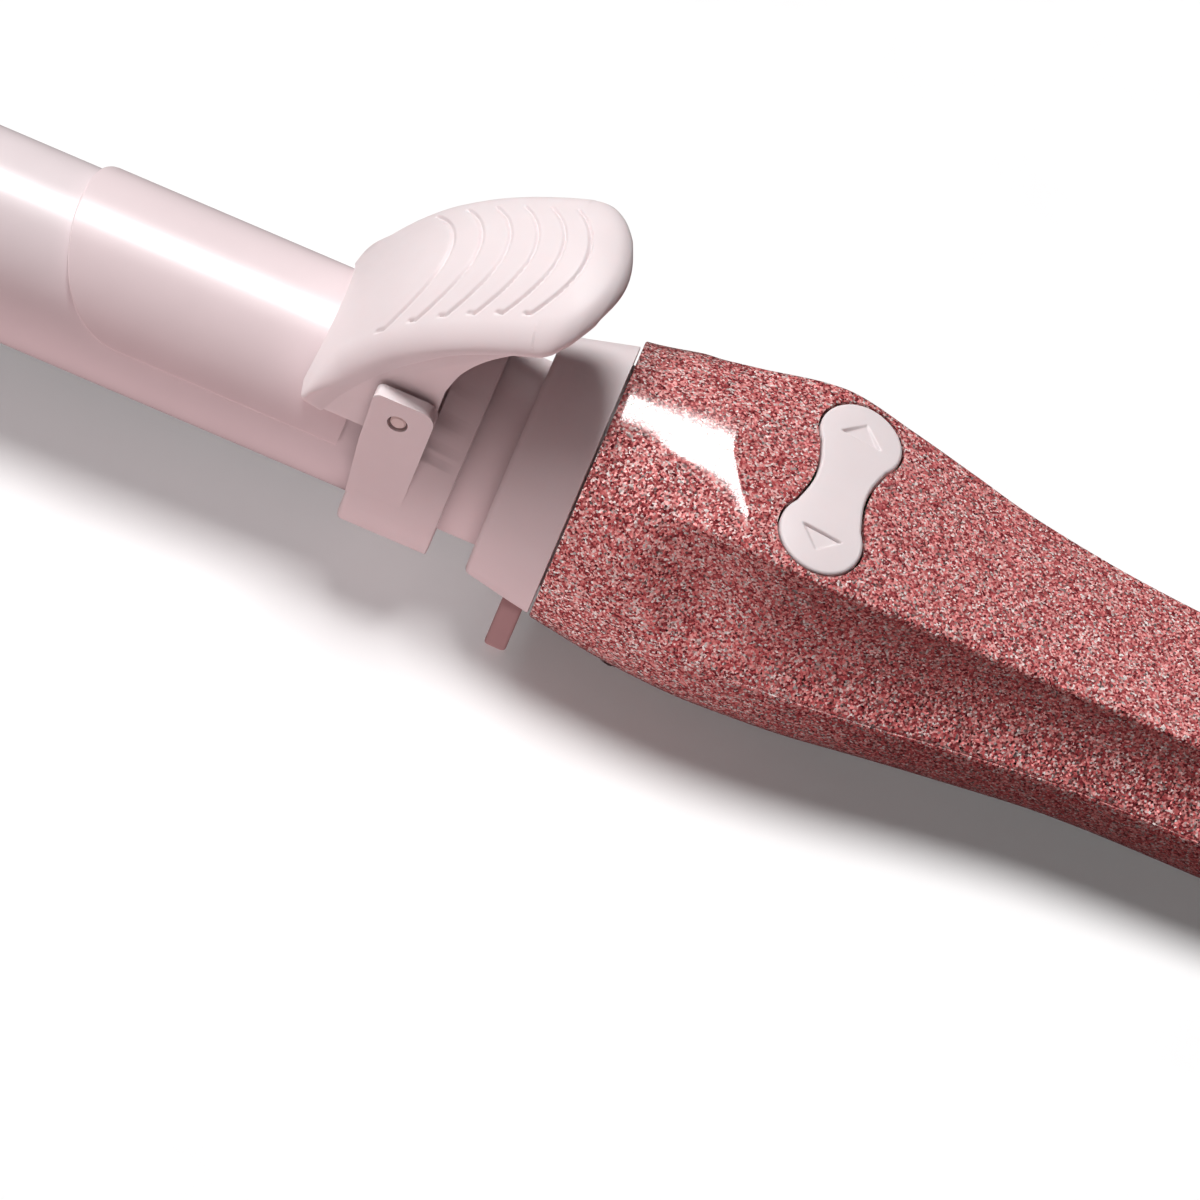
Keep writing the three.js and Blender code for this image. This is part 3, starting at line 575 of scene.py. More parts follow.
def glitter_plastic():
    """Rose glitter under a clear coat: small flat flakes, each with its own shade and tilt."""
    shade = Shader("rose_glitter")
    flakes = shade.cells(3800)
    split = shade.node("SeparateColor")
    shade.links.new(flakes.outputs["Color"], split.inputs["Color"])
    tone = shade.ramp(split.outputs["Red"], [
        (0.0, srgb(92, 24, 32)), (0.3, srgb(158, 66, 68)), (0.55, srgb(204, 116, 114)),
        (0.8, srgb(240, 178, 174)), (0.97, srgb(255, 244, 240))])
    shade.colour(tone)
    shade.links.new(shade.levels(split.outputs["Green"], 0.0, 0.12), shade.surface.inputs["Metallic"])
    shade.roughness(shade.levels(split.outputs["Blue"], 0.3, 0.5))
    tilt = shade.mixed("MULTIPLY_ADD", flakes.outputs["Color"], (1.6, 1.6, 1.6), (-0.8, -0.8, -0.8))
    facing = shade.mixed("ADD", shade.node("NewGeometry").outputs["Normal"], tilt)
    shade.links.new(shade.mixed("NORMALIZE", facing), shade.surface.inputs["Normal"])
    shade.set(Specular_IOR_Level=0.2, Coat_Weight=1.0, Coat_Roughness=0.1, Coat_IOR=1.22, IOR=1.45)
    return shade.material


def metal(name, colour, roughness, stretch=None):
    """Bare metal with drawn or turned marks."""
    shade = Shader(name)
    marks = shade.noise(900, 4.0, 0.6, stretch)
    shade.two_tone(marks, colour, 0.86, 1.06)
    shade.roughness(shade.levels(marks, roughness - 0.07, roughness + 0.1, 0.3, 0.7))
    shade.bump(marks, 0.1, 0.00002)
    shade.set(Metallic=1.0)
    return shade.material


def dull(name, colour, roughness=0.6, scale=500):
    """Matt or unpolished stuff with a fine uneven grain."""
    shade = Shader(name)
    shade.two_tone(shade.noise(scale), colour, 0.85, 1.15)
    shade.roughness(shade.levels(shade.noise(scale * 2), roughness - 0.08, roughness + 0.08, 0.3, 0.7))
    shade.bump(shade.noise(scale * 6), 0.2, 0.00003)
    return shade.material


def smoked_window():
    shade = moulded_plastic("smoked_window", srgb(24, 20, 24), 0.1, variation=0.05)
    shade.set(Coat_Weight=1.0, Coat_Roughness=0.04)
    return shade.material


pink = pink_plastic()
barrel_coat = coated_metal("barrel_ceramic_coat", srgb(228, 216, 218))
clamp_coat = coated_metal("clamp_coat", srgb(230, 214, 216))
glitter = glitter_plastic()
steel = metal("bright_steel", (0.72, 0.72, 0.74), 0.24, (1, 0.2, 1))
brass = metal("brass", (0.78, 0.57, 0.25), 0.3)
aluminium = metal("bare_aluminium", (0.72, 0.73, 0.75), 0.38, (0.1, 1, 1))
black = dull("black_plastic", (0.022, 0.022, 0.024), 0.45)
carbon = dull("carbon", (0.05, 0.05, 0.055), 0.75)
ceramic = dull("heater_ceramic", (0.78, 0.75, 0.68), 0.7)
board = dull("circuit_board", (0.02, 0.13, 0.05), 0.4)
window_tint = smoked_window()
# painted reflection: the steel pin is drawn in a light colour that stands in for the bright surroundings it
# would reflect
pin_painted_reflection = moulded_plastic("pin_painted_reflection", srgb(226, 208, 204), 0.3).material
# painted shade: a darker copy of the pink for the foot, which sits in shade under the collar
pink_with_painted_shade = moulded_plastic("pink_foot_painted_shade", srgb(176, 142, 142), 0.5).material
slot_materials = {
    "glitter_shell": glitter, "pink_plastic": pink, "barrel_coating": barrel_coat,
    "clamp_coating": clamp_coat, "steel": steel, "brass": brass, "bare_aluminium": aluminium,
    "black_plastic": black, "carbon": carbon, "heater_ceramic": ceramic, "circuit_board": board,
    "dark_lens": window_tint,
}


def repaint_nodes():
    """Every CAD node takes the detailed material of its record slot."""
    slots = {part["node"]: part["material_slot"] for part in frame["record"]["subparts"]}
    for name, node in frame["nodes"].items():
        node.data.materials.clear()
        node.data.materials.append(slot_materials[slots[name]])


# ------------------------------------------------------------------ barrel
def make_barrel():
    """Barrel tube and the cool tip pushed into its front end."""
    wall = 0.8
    tube = turned("barrel", rounded_profile([
        (BARREL_FRONT, BARREL_R - wall, 0.1), (BARREL_FRONT, BARREL_R, 0.3),
        (BARREL_REAR, BARREL_R, 0.2), (BARREL_REAR, BARREL_R - wall, 0.1)]), 160)
    dress(tube, barrel_coat, "barrel", "barrel_coating", "barrel_tube")
    tip = turned("cool_tip", rounded_profile([
        (BARREL_FRONT + 5, 0, 0), (TIP_END, 0, 0), (TIP_END, BARREL_R, 6.4),
        (BARREL_FRONT - 3.4, BARREL_R, 0.25),
        (BARREL_FRONT - 3.2, BARREL_R - 0.35, 0.1), (BARREL_FRONT - 2.6, BARREL_R - 0.35, 0.1),
        (BARREL_FRONT - 2.4, BARREL_R, 0.25), (BARREL_FRONT - 0.2, BARREL_R, 0.3),
        (BARREL_FRONT - 0.2, SPIGOT_R, 0), (BARREL_FRONT + 5, SPIGOT_R, 0)], 10), 128)
    dress(tip, pink, "barrel", "pink_plastic", "tip_cap")


def make_neck():
    """Turning neck: a spigot in the barrel, a flange behind the collar's front wall and a hollow tail."""
    neck = turned("turning_neck", rounded_profile([
        (-34, 4, 0), (-34, SPIGOT_R, 0.4), (BARREL_REAR, SPIGOT_R, 0), (BARREL_REAR + 0.3, NECK_R, 0.2),
        (-1, NECK_R, 0), (-1, 14.1, 0.3), (1.4, 14.1, 0.3), (1.4, 6.5, 0.4), (24, 6.5, 0.3), (24, 3, 0),
        (-16, 3, 0), (-20, 4, 0)]), 128)
    dress(neck, pink, "barrel", "pink_plastic", "neck_sleeve")


def make_bracket():
    """Ring round the neck, a cradle under the barrel and a flat ear on each side for the pin."""
    ring = turned("hinge_bracket_fine", rounded_profile([
        (RING_FRONT, BRACKET_BORE, 0), (RING_FRONT, BRACKET_R, 0), (RING_REAR, BRACKET_R, 0.3),
        (RING_REAR, BRACKET_BORE, 0.1)]), 160)
    cradle = turned("cradle", rounded_profile([
        (BRACKET_FRONT, BRACKET_BORE, 0.1), (BRACKET_FRONT, BRACKET_R, 0.9), (RING_FRONT + 1, BRACKET_R, 0),
        (RING_FRONT + 1, BRACKET_BORE, 0)]), 160)
    cradle = combine(cradle, cube("upper_cut", (-60, RING_FRONT + 2), (-40, 40), (0.3, 40)), "DIFFERENCE")
    made = combine(ring, cradle, "UNION")
    front, rear = PIN_X - 4.1, RING_FRONT + 0.05
    corner_front = np.array([front + 1, EAR_TOP - 1]) + arc_points(1, math.pi, math.pi / 2, 6)
    corner_rear = np.array([rear - 2, EAR_TOP - 2]) + arc_points(2, math.pi / 2, 0, 8)
    outline = np.concatenate([[(BRACKET_FRONT, -0.5), (front + 0.3, 10)], corner_front, corner_rear,
                              [(rear, -0.5)]])
    for side in (-1, 1):
        y0, y1 = sorted((side * EAR_INNER, side * (BRACKET_R - 0.01)))
        made = combine(made, slab("ear", outline, 1, (y0, y1)), "UNION")
    made = combine(made, cross_rod("pin_hole", PIN_X, PIN_Z, -20, 20, PIN_R + 0.18, 48), "DIFFERENCE")
    round_edges(made, 0.3, angle=40)
    dress(made, pink, "barrel", "pink_plastic", "hinge_bracket")


def make_pin():
    reach = BRACKET_R - 0.15
    pin = cross_rod("clamp_pin", PIN_X, PIN_Z, -reach, reach, PIN_R - 0.15, 48, edge=0.2)
    dress(pin, pin_painted_reflection, "barrel", "steel", "hinge_pin")


# ------------------------------------------------------------------ clamp
def make_clamp_plate():
    """Curved plate over the barrel with a rounded tongue and rounded rims."""
    half_thick = CLAMP_THICK / 2
    middle_r = CLAMP_R - half_thick
    tongue = CLAMP_FRONT + CLAMP_TONGUE * (1 - np.cos(np.linspace(0.0, math.pi / 2, 60)))
    rows = np.concatenate([tongue, np.linspace(CLAMP_FRONT + CLAMP_TONGUE, CLAMP_REAR, 24)[1:]])
    rim = np.linspace(-math.pi / 2, math.pi / 2, 9)
    points = []
    for x in rows:
        inside = min(1.0, (x - CLAMP_FRONT) / CLAMP_TONGUE)
        half = middle_r * CLAMP_HALF_ANGLE * math.sqrt(max(0.0, 1 - (1 - inside) ** 2))
        nose = min(1.0, (x - CLAMP_FRONT) / half_thick)
        thick = half_thick * math.sqrt(max(0.0, 1 - (1 - nose) ** 2))
        flat = max(0.0, half - thick)
        across = np.linspace(-flat, flat, 64)
        edge_out = thick * np.cos(rim)
        edge_up = thick * np.sin(rim)
        arc = np.concatenate([across, flat + edge_out[::-1][1:-1], across[::-1], -flat - edge_out[1:-1]])
        rise = np.concatenate([np.full(64, thick), edge_up[::-1][1:-1], np.full(64, -thick), edge_up[1:-1]])
        angle = arc / middle_r
        radius = middle_r + rise
        points.append(np.column_stack([np.full(len(arc), x), radius * np.sin(angle), radius * np.cos(angle)]))
    count = len(points[0])
    faces = grid_faces(len(rows), count, wrap_columns=True)
    faces += [list(range(count)), list(range((len(rows) - 1) * count, len(rows) * count))]
    made = mesh_object("clamp_tongue", np.concatenate(points), faces, sharp=50)
    dress(made, clamp_coat, "clamp", "clamp_coating", "clamp_plate")


def groove_lines():
    """The grip grooves in plan: shallow arcs bulging to the rear, with a hook forward at the -Y end."""
    lines = []
    for i in range(GROOVES):
        end_x = -30.5 + GROOVE_PITCH * i
        half = 10.2 - 0.12 * i
        y = np.linspace(-half, 0.93 * half, 41)
        x = end_x + 3.7 * (1 - (y / half) ** 2)
        x = np.concatenate([[end_x - 0.7], x])
        y = np.concatenate([[-half + 0.1], y])
        lines.append(np.column_stack([x, y]))
    return lines


def distance_to_line(px, py, line):
    best = np.full(px.shape, 1e9)
    for (x0, y0), (x1, y1) in zip(line[:-1], line[1:]):
        dx, dy = x1 - x0, y1 - y0
        t = np.clip(((px - x0) * dx + (py - y0) * dy) / (dx * dx + dy * dy), 0, 1)
        best = np.minimum(best, np.hypot(px - x0 - t * dx, py - y0 - t * dy))
    return best


def blend(x, low, high, before, after):
    """A value that goes from before to after between low and high."""
    return before + (after - before) * smoothstep(x, low, high)


def quarter(inset, across, deep):
    """Depth of a quarter-ellipse rounding at a distance in from the edge."""
    t = np.clip(1 - inset / across, 0, 1)
    return deep * (1 - np.sqrt(1 - t * t))


def dome(x, y):
    """Depth of the thumb plate's crown at y, along the plate's own normal: nearly flat in front."""
    return y * y / 2 * blend(x, -38, -27, 1 / 60, 1 / 29)


def lever_edge(x, inset):
    """Depths of the plate's upper and lower faces near its rim: a full shoulder in front, a lip behind."""
    grown = blend(x, -38.6, -35.6, 0.15, 1)
    upper = quarter(inset, grown * blend(x, -36, -24, 3.6, 3.0), grown * blend(x, -36, -24, 2.4, 1.5))
    lip = blend(x, -34, -22, 0.04, 1.0)
    lower = blend(x, -36, -24, 3.2, 2.6) - quarter(inset, lip, lip)
    return upper, np.maximum(lower, upper + 0.02)


def thumb_plate(line, tangent):
    """The lever's domed plate with its grip grooves, along a line in side view."""
    line_x, line_z = line[:, 0], line[:, 1]
    total = float(lengths_along(line)[-1])
    share = np.linspace(0, 1, len(line))
    spread = np.concatenate([0.03 * np.linspace(0, 1, 14, endpoint=False) ** 2,
                             np.linspace(0.03, 0.955, 280, endpoint=False),
                             1 - 0.045 * np.linspace(1, 0, 30) ** 2])
    rows = np.sin(np.linspace(-1, 1, 181) * math.pi / 2)
    upper, lower = [], []
    for k in rows:
        end = LEVER_ROUND + (LEVER_END - LEVER_ROUND) * math.sqrt(max(0.0, 1 - k * k))
        last = np.interp(end, line_x, share)
        side_y = LEVER_HALF * k
        corner = float(quarter(np.array(LEVER_HALF - abs(side_y)), 0.6, 0.6))
        bottom = max(WEB_BOTTOM + corner, math.sqrt(max(0.0, (CLAMP_R + 0.45) ** 2 - side_y**2)))
        fall = dome(line_x, side_y)
        first = np.interp(bottom, (line_z - fall * tangent[:, 0])[:200], share[:200])
        s = first + spread * (last - first)
        x, z = np.interp(s, share, line_x), np.interp(s, share, line_z)
        tx, tz = np.interp(s, share, tangent[:, 0]), np.interp(s, share, tangent[:, 1])
        half = blend(x, -36, -25, WEB_OUTER + 0.015, LEVER_HALF)
        y = half * k
        rear = np.maximum(x - LEVER_ROUND, 0) / (LEVER_END - LEVER_ROUND)
        reach = np.hypot(rear, k)
        to_side = np.where(x > LEVER_ROUND, (1 - reach) * 10.5, half - np.abs(y))
        to_front = (s - first) * total
        top, under = lever_edge(x, np.maximum(to_side, 0))
        top = top + quarter(to_front, 0.6, 0.6)
        under = under - quarter(to_front, 0.4, 0.4)
        drop = dome(x, y)
        for surface, depth in ((upper, top + drop), (lower, np.maximum(under, top + 0.02) + drop)):
            surface.append(np.column_stack([x + tz * depth, y, z - tx * depth]))
    plan = np.concatenate(upper)
    top = plan.copy()
    for groove in groove_lines():
        distance = distance_to_line(plan[:, 0], plan[:, 1], groove)
        depth = GROOVE_DEPTH * np.exp(-(distance / 0.2) ** 2)
        top[:, 0] += 0.5 * depth
        top[:, 2] -= 0.87 * depth
    return between_grids("lever_plate", top, np.concatenate(lower), len(rows), len(spread), sharp=70)


def lever_webs(line, tangent):
    """The two side walls under the plate, each with a hole for the pin."""
    line_x, line_z = line[:, 0], line[:, 1]
    edge_y = WEB_OUTER - 0.3
    depth = dome(line_x, edge_y) + 0.5 * sum(lever_edge(line_x, np.full(line_x.shape, 0.4)))
    profile = np.column_stack([line_x + tangent[:, 1] * depth, line_z - tangent[:, 0] * depth])
    profile = profile[(profile[:, 1] > WEB_BOTTOM + 0.2) & (profile[:, 0] < -13.4)][::-12]
    base = [(profile[-1, 0] + 0.2, WEB_BOTTOM), (WEB_REAR, WEB_BOTTOM), (WEB_REAR, WEB_TOP_Z)]
    arc = spline([(WEB_REAR, WEB_TOP_Z), (-19.2, 26.0), (-16.8, 30.2), (-12.9, 34.4)], 16)[1:]
    outline = np.concatenate([base, arc, profile])
    webs = []
    for side in (-1, 1):
        y0, y1 = sorted((side * WEB_OUTER, side * (WEB_OUTER - WEB_THICK)))
        wall = slab("web", outline, 1, (y0, y1))
        wall = combine(wall, cross_rod("hole", PIN_X, PIN_Z, -20, 20, PIN_R + 0.3, 40), "DIFFERENCE")
        round_edges(wall, 0.2, angle=60)
        webs.append(wall)
    return webs


def make_lever():
    """Thumb lever: the plate, its two webs and a seat over the clamp, in one piece."""
    line = spline(LEVER_LINE, 600)
    tangent = np.gradient(line, axis=0)
    tangent /= np.linalg.norm(tangent, axis=1)[:, None]
    pieces = [thumb_plate(line, tangent), *lever_webs(line, tangent)]
    seat = cube("seat", (-33.4, -29.6), (-12.2, 12.2), (9.5, 16.4))
    room_r = CLAMP_R + 0.3
    room = turned("room", [(-60, 0), (-60, room_r), (-10, room_r), (-10, 0)], 96, closed=False)
    pieces.append(combine(seat, room, "DIFFERENCE"))
    made = joined("thumb_lever_fine", pieces)
    dress(made, pink, "clamp", "pink_plastic", "thumb_lever")


# ------------------------------------------------------------------ handle surfaces
def section(x, inset, upper, samples):
    """Half outline of the handle at x, from the +Y side over or under to the -Y side, evenly spaced."""
    a, b, top, ridge_y, ridge_z = along(HANDLE, x)
    if upper:
        t = np.linspace(0, 1, 160)
        below = t < RIDGE_SHARE
        s = np.where(below, t / RIDGE_SHARE, (t - RIDGE_SHARE) / (1 - RIDGE_SHARE))
        half, height = a - inset, top - inset
        corner_y, corner_z = ridge_y - 0.8 * inset, ridge_z - inset
        angle = np.where(below, RIDGE_ANGLE * s, RIDGE_ANGLE + (math.pi / 2 - RIDGE_ANGLE) * s)
        power = 2 / (OVAL_POWER + OVAL_GAIN * float(smoothstep(x, 0, OVAL_RUN)))
        round_y, round_z = half * np.abs(np.cos(angle)) ** power, height * np.sin(angle) ** power
        flare = half - corner_y
        side_y = bezier(s, half, half - 0.25 * flare, corner_y - 0.05 * flare, corner_y)
        side_z = bezier(s, 0, 0.12, 0.3, 1) * corner_z
        edged_y = np.where(below, side_y, corner_y * (1 - s))
        edged_z = np.where(below, side_z, height - (height - corner_z) * (1 - s) ** 2)
        ridged = smoothstep(x, RIDGE_START, RIDGE_FULL)
        y, z = round_y + (edged_y - round_y) * ridged, round_z + (edged_z - round_z) * ridged
        points = np.concatenate([np.column_stack([y, z]), np.column_stack([-y, z])[::-1][1:]])
    else:
        angle = np.linspace(0, math.pi, 321)
        power = 2 / LOWER_POWER
        y = (a - inset) * np.sign(np.cos(angle)) * np.abs(np.cos(angle)) ** power
        z = -(b - inset) * np.abs(np.sin(angle)) ** power
        points = np.column_stack([y, z])
    return softened(evenly_spaced(points, 400), EDGE_SOFTNESS, samples)


def softened(points, radius, samples):
    """The polyline with its corners rounded by about radius, its two ends kept in place."""
    spacing = np.linalg.norm(points[1] - points[0])
    reach = max(1, int(radius / spacing))
    kernel = np.hanning(2 * reach + 3)[1:-1]
    kernel /= kernel.sum()
    before = 2 * points[0] - points[reach:0:-1]
    after = 2 * points[-1] - points[-2:-reach - 2:-1]
    before[:, 0] = points[reach:0:-1, 0]
    after[:, 0] = points[-2:-reach - 2:-1, 0]
    padded = np.concatenate([before, points, after])
    smooth = np.column_stack([np.convolve(padded[:, k], kernel, "valid") for k in range(2)])
    return evenly_spaced(smooth, samples)


def shell(name, upper):
    """One half of the handle as a closed wall with softened rims."""
    lip = 0.25
    stops = np.concatenate([[SHELL_FRONT], SHELL_FRONT + lip * np.array([0.1, 0.3, 0.6, 1.0]),
                            np.arange(1.3, SHELL_REAR - lip, 0.8),
                            SHELL_REAR - lip * np.array([1.0, 0.6, 0.3, 0.1]), [SHELL_REAR]])
    samples = 181
    seam = SEAM_HALF_GAP if upper else -SEAM_HALF_GAP
    rings = []
    for x in stops:
        near_end = min(x - SHELL_FRONT, SHELL_REAR - x)
        outer = section(x, float(round_over(near_end, lip)), upper, samples)
        inner = section(x, SHELL_WALL, upper, samples)
        for ring in (outer, inner):
            ring[:, 1] = np.sign(seam) * np.maximum(np.abs(ring[:, 1]), SEAM_HALF_GAP)
        outer = chamfered(outer, seam)
        loop = np.concatenate([outer, inner[::-1]])
        rings.append(placed(x, loop))
    count = len(rings[0])
    faces = grid_faces(len(rings), count, wrap_columns=True)
    faces += end_strip(0, samples, count) + end_strip((len(rings) - 1) * count, samples, count)
    return mesh_object(name, np.concatenate(rings), faces, sharp=50)


def chamfered(ring, seam):
    """Pulls the last points beside the parting plane in a little, so that the line reads as a groove."""
    depth = 0.1
    height = np.abs(ring[:, 1] - seam)
    pull = depth * np.clip(1 - height / 0.3, 0, 1)
    ring[:, 0] -= np.sign(ring[:, 0]) * pull
    return ring


def end_strip(start, samples, count):
    """Quads that close the C-shaped end of a shell, between its outer and inner outlines."""
    last = start + count - 1
    return [[start + i, start + i + 1, last - 1 - i, last - i] for i in range(samples - 1)]


TOP_GRID_X = np.linspace(ROCKER_X - 8, ROCKER_X + 8, 41)
TOP_GRID_Y = np.linspace(-15, 15, 121)


def top_table():
    """Heights of the handle's upper face on a grid round the rocker button."""
    rows = []
    for x in TOP_GRID_X:
        ring = section(float(x), 0, True, 721)
        ring = ring[np.abs(ring[:, 0]) < 15.6]
        order = np.argsort(ring[:, 0])
        rows.append(np.interp(TOP_GRID_Y, ring[order, 0], ring[order, 1]))
    return np.array(rows)


def grid_place(values, grid):
    """Each value's cell on an even grid, and its share of the way through that cell."""
    place = np.clip((values - grid[0]) / (grid[1] - grid[0]), 0, len(grid) - 1.001)
    cell = place.astype(int)
    return cell, place - cell


def sample_top(table, x, y):
    """Heights of the handle's upper face at points round the rocker button."""
    (i, u), (j, v) = grid_place(x, TOP_GRID_X), grid_place(y, TOP_GRID_Y)
    return ((1 - u) * (1 - v) * table[i, j] + u * (1 - v) * table[i + 1, j]
            + (1 - u) * v * table[i, j + 1] + u * v * table[i + 1, j + 1])


# ------------------------------------------------------------------ rocker button
def rocker_half_width(y, grow=0.0):
    """Half width of the bone-shaped outline at y: round lobes joined by a narrow waist."""
    r, waist = LOBE_R + grow, WAIST + grow
    join = 0.62
    join_y = LOBE_Y - r * math.sin(join)
    join_x = r * math.cos(join)
    y = np.abs(np.asarray(y, float))
    lobe = np.sqrt(np.maximum(r * r - (y - LOBE_Y) ** 2, 0))
    t = np.linspace(0, 1, 60)
    bx = bezier(t, join_x, waist + 0.5, waist, waist)
    by = bezier(t, join_y, join_y - 2, 2.2, 0)
    return np.where(y > join_y, lobe, np.interp(y, by[::-1], bx[::-1]))


def rocker_outline(grow, count=48):
    """The outline as a closed loop of (x, y) points."""
    y = (LOBE_Y + LOBE_R + grow) * np.sin(np.linspace(-math.pi / 2, math.pi / 2, count))
    half = rocker_half_width(y, grow)
    right = np.column_stack([half, y])
    left = np.column_stack([-half, y])[::-1][1:-1]
    return np.concatenate([right, left])


def triangle_depth(x, y, side):
    """Depth of the arrow mark on one lobe: a triangle sunk at its base and rising to the face at its tip."""
    base, tip, half = 8.25, 11.1, 2.7
    edge = 0.1
    out = side * y
    slope = half / (tip - base)
    flank = (half - slope * (out - base) - np.abs(x)) / math.hypot(1, slope)
    inside = smoothstep(out - base, -edge, edge) * smoothstep(flank, -2 * edge, 2 * edge)
    return inside * (0.12 + 0.3 * np.clip(1 - (out - base) / (tip - base), 0, 1))


def make_rocker(table):
    """Button flush with the handle, with rounded rims and an arrow mark sunk into each lobe."""
    rows = (LOBE_Y + LOBE_R) * np.sin(np.linspace(-1, 1, 261) * math.pi / 2)
    across = np.sin(np.linspace(-1, 1, 111) * math.pi / 2)
    outline = rocker_outline(0, 120)
    loop = np.concatenate([outline, outline[:1]])
    x = rocker_half_width(rows)[:, None] * across[None, :]
    y = np.repeat(rows[:, None], len(across), 1)
    inset = distance_to_line(x, y, loop)
    z = sample_top(table, x + ROCKER_X, y) + 0.05 - round_over(inset, 0.45)
    z -= triangle_depth(x, y, 1) + triangle_depth(x, y, -1)
    top = np.stack([x + ROCKER_X, y, z], -1).reshape(-1, 3)
    bottom = np.stack([x + ROCKER_X, y, np.full(x.shape, ROCKER_BOTTOM)], -1).reshape(-1, 3)
    made = between_grids("rocker_key", top, bottom, len(rows), len(across), sharp=55)
    dress(made, pink, "rocker", "pink_plastic", "rocker_button")


def make_shells():
    upper = shell("upper_shell", True)
    hole = rocker_outline(ROCKER_GAP, 64) + np.array([ROCKER_X, 0])
    upper = cut_hole(upper, hole, 10, 26)
    ring = arc_points(KEY_R + 0.3, 0, 2 * math.pi, 49)[:-1]
    for x in (POWER_X, HEAT_X):
        upper = cut_hole(upper, ring + np.array([x, 0]), 6, 24)
    upper = cut_hole(upper, rounded_rectangle(WINDOW_X, *WINDOW_HALF, 1.2), 6, 24)
    dress(upper, glitter, "handle", "glitter_shell", "handle_upper_shell")
    lower = shell("lower_shell", False)
    sink = arc_points(2.4, 0, 2 * math.pi, 41)[:-1]
    for x, y in SCREWS:
        lower = cut_hole(lower, sink + np.array([x, y]), -30, -2)
    dress(lower, glitter, "handle", "glitter_shell", "handle_lower_shell")


# ------------------------------------------------------------------ collar, rear cap and small controls
def ellipse_ring(x, a, b, top, inset, angles):
    height = np.where(np.sin(angles) > 0, top - inset, b - inset)
    return np.column_stack([np.full(len(angles), x), (a - inset) * np.cos(angles), height * np.sin(angles)])


def make_foot():
    """The foot under the collar, which stands on the table, in the darker pink that the photo shows: a copy
    of the pink with painted shade.
    """
    ground = float(to_iron(to_row([[FOOT_REAR, 0, 0]])[0] * np.array([1, 1, 0]))[2])
    half_height = (FOOT_TOP - ground) / 2
    loop = rounded_rectangle(0, FOOT_HALF, half_height, 1.2) + np.array([0, ground + half_height])
    foot = slab("stand_foot", loop, 0, (FOOT_FRONT, FOOT_REAR))
    round_edges(foot, 0.5, angle=50, segments=4)
    dress(foot, pink_with_painted_shade, "handle", "pink_plastic")


def make_collar():
    """Fixed collar that flares to the handle, with a rounded front edge and a lip inside the upper shell."""
    angles = full_turn(160)
    edge, wall_rear, mouth_r = 0.9, COLLAR_FRONT + 1.6, 12.95
    bore = [(0, COLLAR_BORE), (wall_rear, COLLAR_BORE), (wall_rear, mouth_r),
            (COLLAR_FRONT + 0.15, mouth_r), (COLLAR_FRONT, mouth_r + 0.2)]
    rings = [ellipse_ring(x, r, r, r, 0, angles) for x, r in bore]
    for turn in np.linspace(0, math.pi / 2, 10)[::-1]:
        x, inset = COLLAR_FRONT + edge * (1 - math.sin(turn)), edge * (1 - math.cos(turn))
        rings.append(ellipse_ring(x, *along(COLLAR, COLLAR_FRONT + edge), inset, angles))
    for x in np.linspace(COLLAR_FRONT + edge, -0.3, 14)[1:]:
        rings.append(ellipse_ring(x, *along(COLLAR, x), 0, angles))
    rings += [ellipse_ring(x, *along(COLLAR, 0), inset, angles) for x, inset in ((-0.08, 0.06), (0, 0.25))]
    body = ring_solid("collar", rings)
    made = joined("fixed_collar", [body, collar_lip()])
    dress(made, pink, "handle", "pink_plastic", "front_collar")


def collar_lip():
    """Half-round lip behind the collar, which the upper shell closes over."""
    count = 80
    arc = arc_points(1, 0.02, math.pi - 0.02, count)
    inner, outer = 14.4 * arc, arc * np.array([15.8, 16.8])
    rings = [placed(x, loop) for x, loop in ((-0.3, inner), (1.2, inner), (1.2, outer), (-0.3, outer))]
    ends = [list(range(k, 4 * count, count)) for k in (0, count - 1)]
    return mesh_object("lip", np.concatenate(rings), grid_faces(4, count, wrap_rows=True) + ends)


def make_rear_cap():
    """Domed cap on the handle's rear end, hollow, with a round hole for the cord swivel."""
    rows = [(SHELL_REAR + 0.2, 0.12), (SHELL_REAR + 0.35, 0.0)]
    for turn in np.linspace(0, math.pi / 2, 14):
        rows.append((SHELL_REAR + 1 + 7 * math.sin(turn), 5.2 * (1 - math.cos(turn)) ** 1.1))
    samples = 121
    rings = []
    for x, inset in rows:
        upper = section(min(x, SHELL_REAR), inset, True, samples)
        lower = section(min(x, SHELL_REAR), inset, False, samples)[::-1][1:-1]
        loop = np.concatenate([upper, lower])
        rings.append(placed(x, loop))
    angle = np.arctan2(rings[-1][:, 2] - SWIVEL_Z, rings[-1][:, 1])
    hole = 5.35 * np.column_stack([np.cos(angle), np.sin(angle)])
    centre = np.array([0, SWIVEL_Z])
    inside = 0.83 * rings[0][:, 1:]
    front = SHELL_REAR - 3
    rings += [placed(CAP_REAR, centre + 1.08 * hole), placed(CAP_REAR - 0.4, centre + hole),
              placed(front, centre + hole), placed(front, inside), placed(SHELL_REAR + 0.2, inside)]
    made = ring_solid("cord_end_cap", rings)
    dress(made, pink, "handle", "pink_plastic", "rear_end_cap")


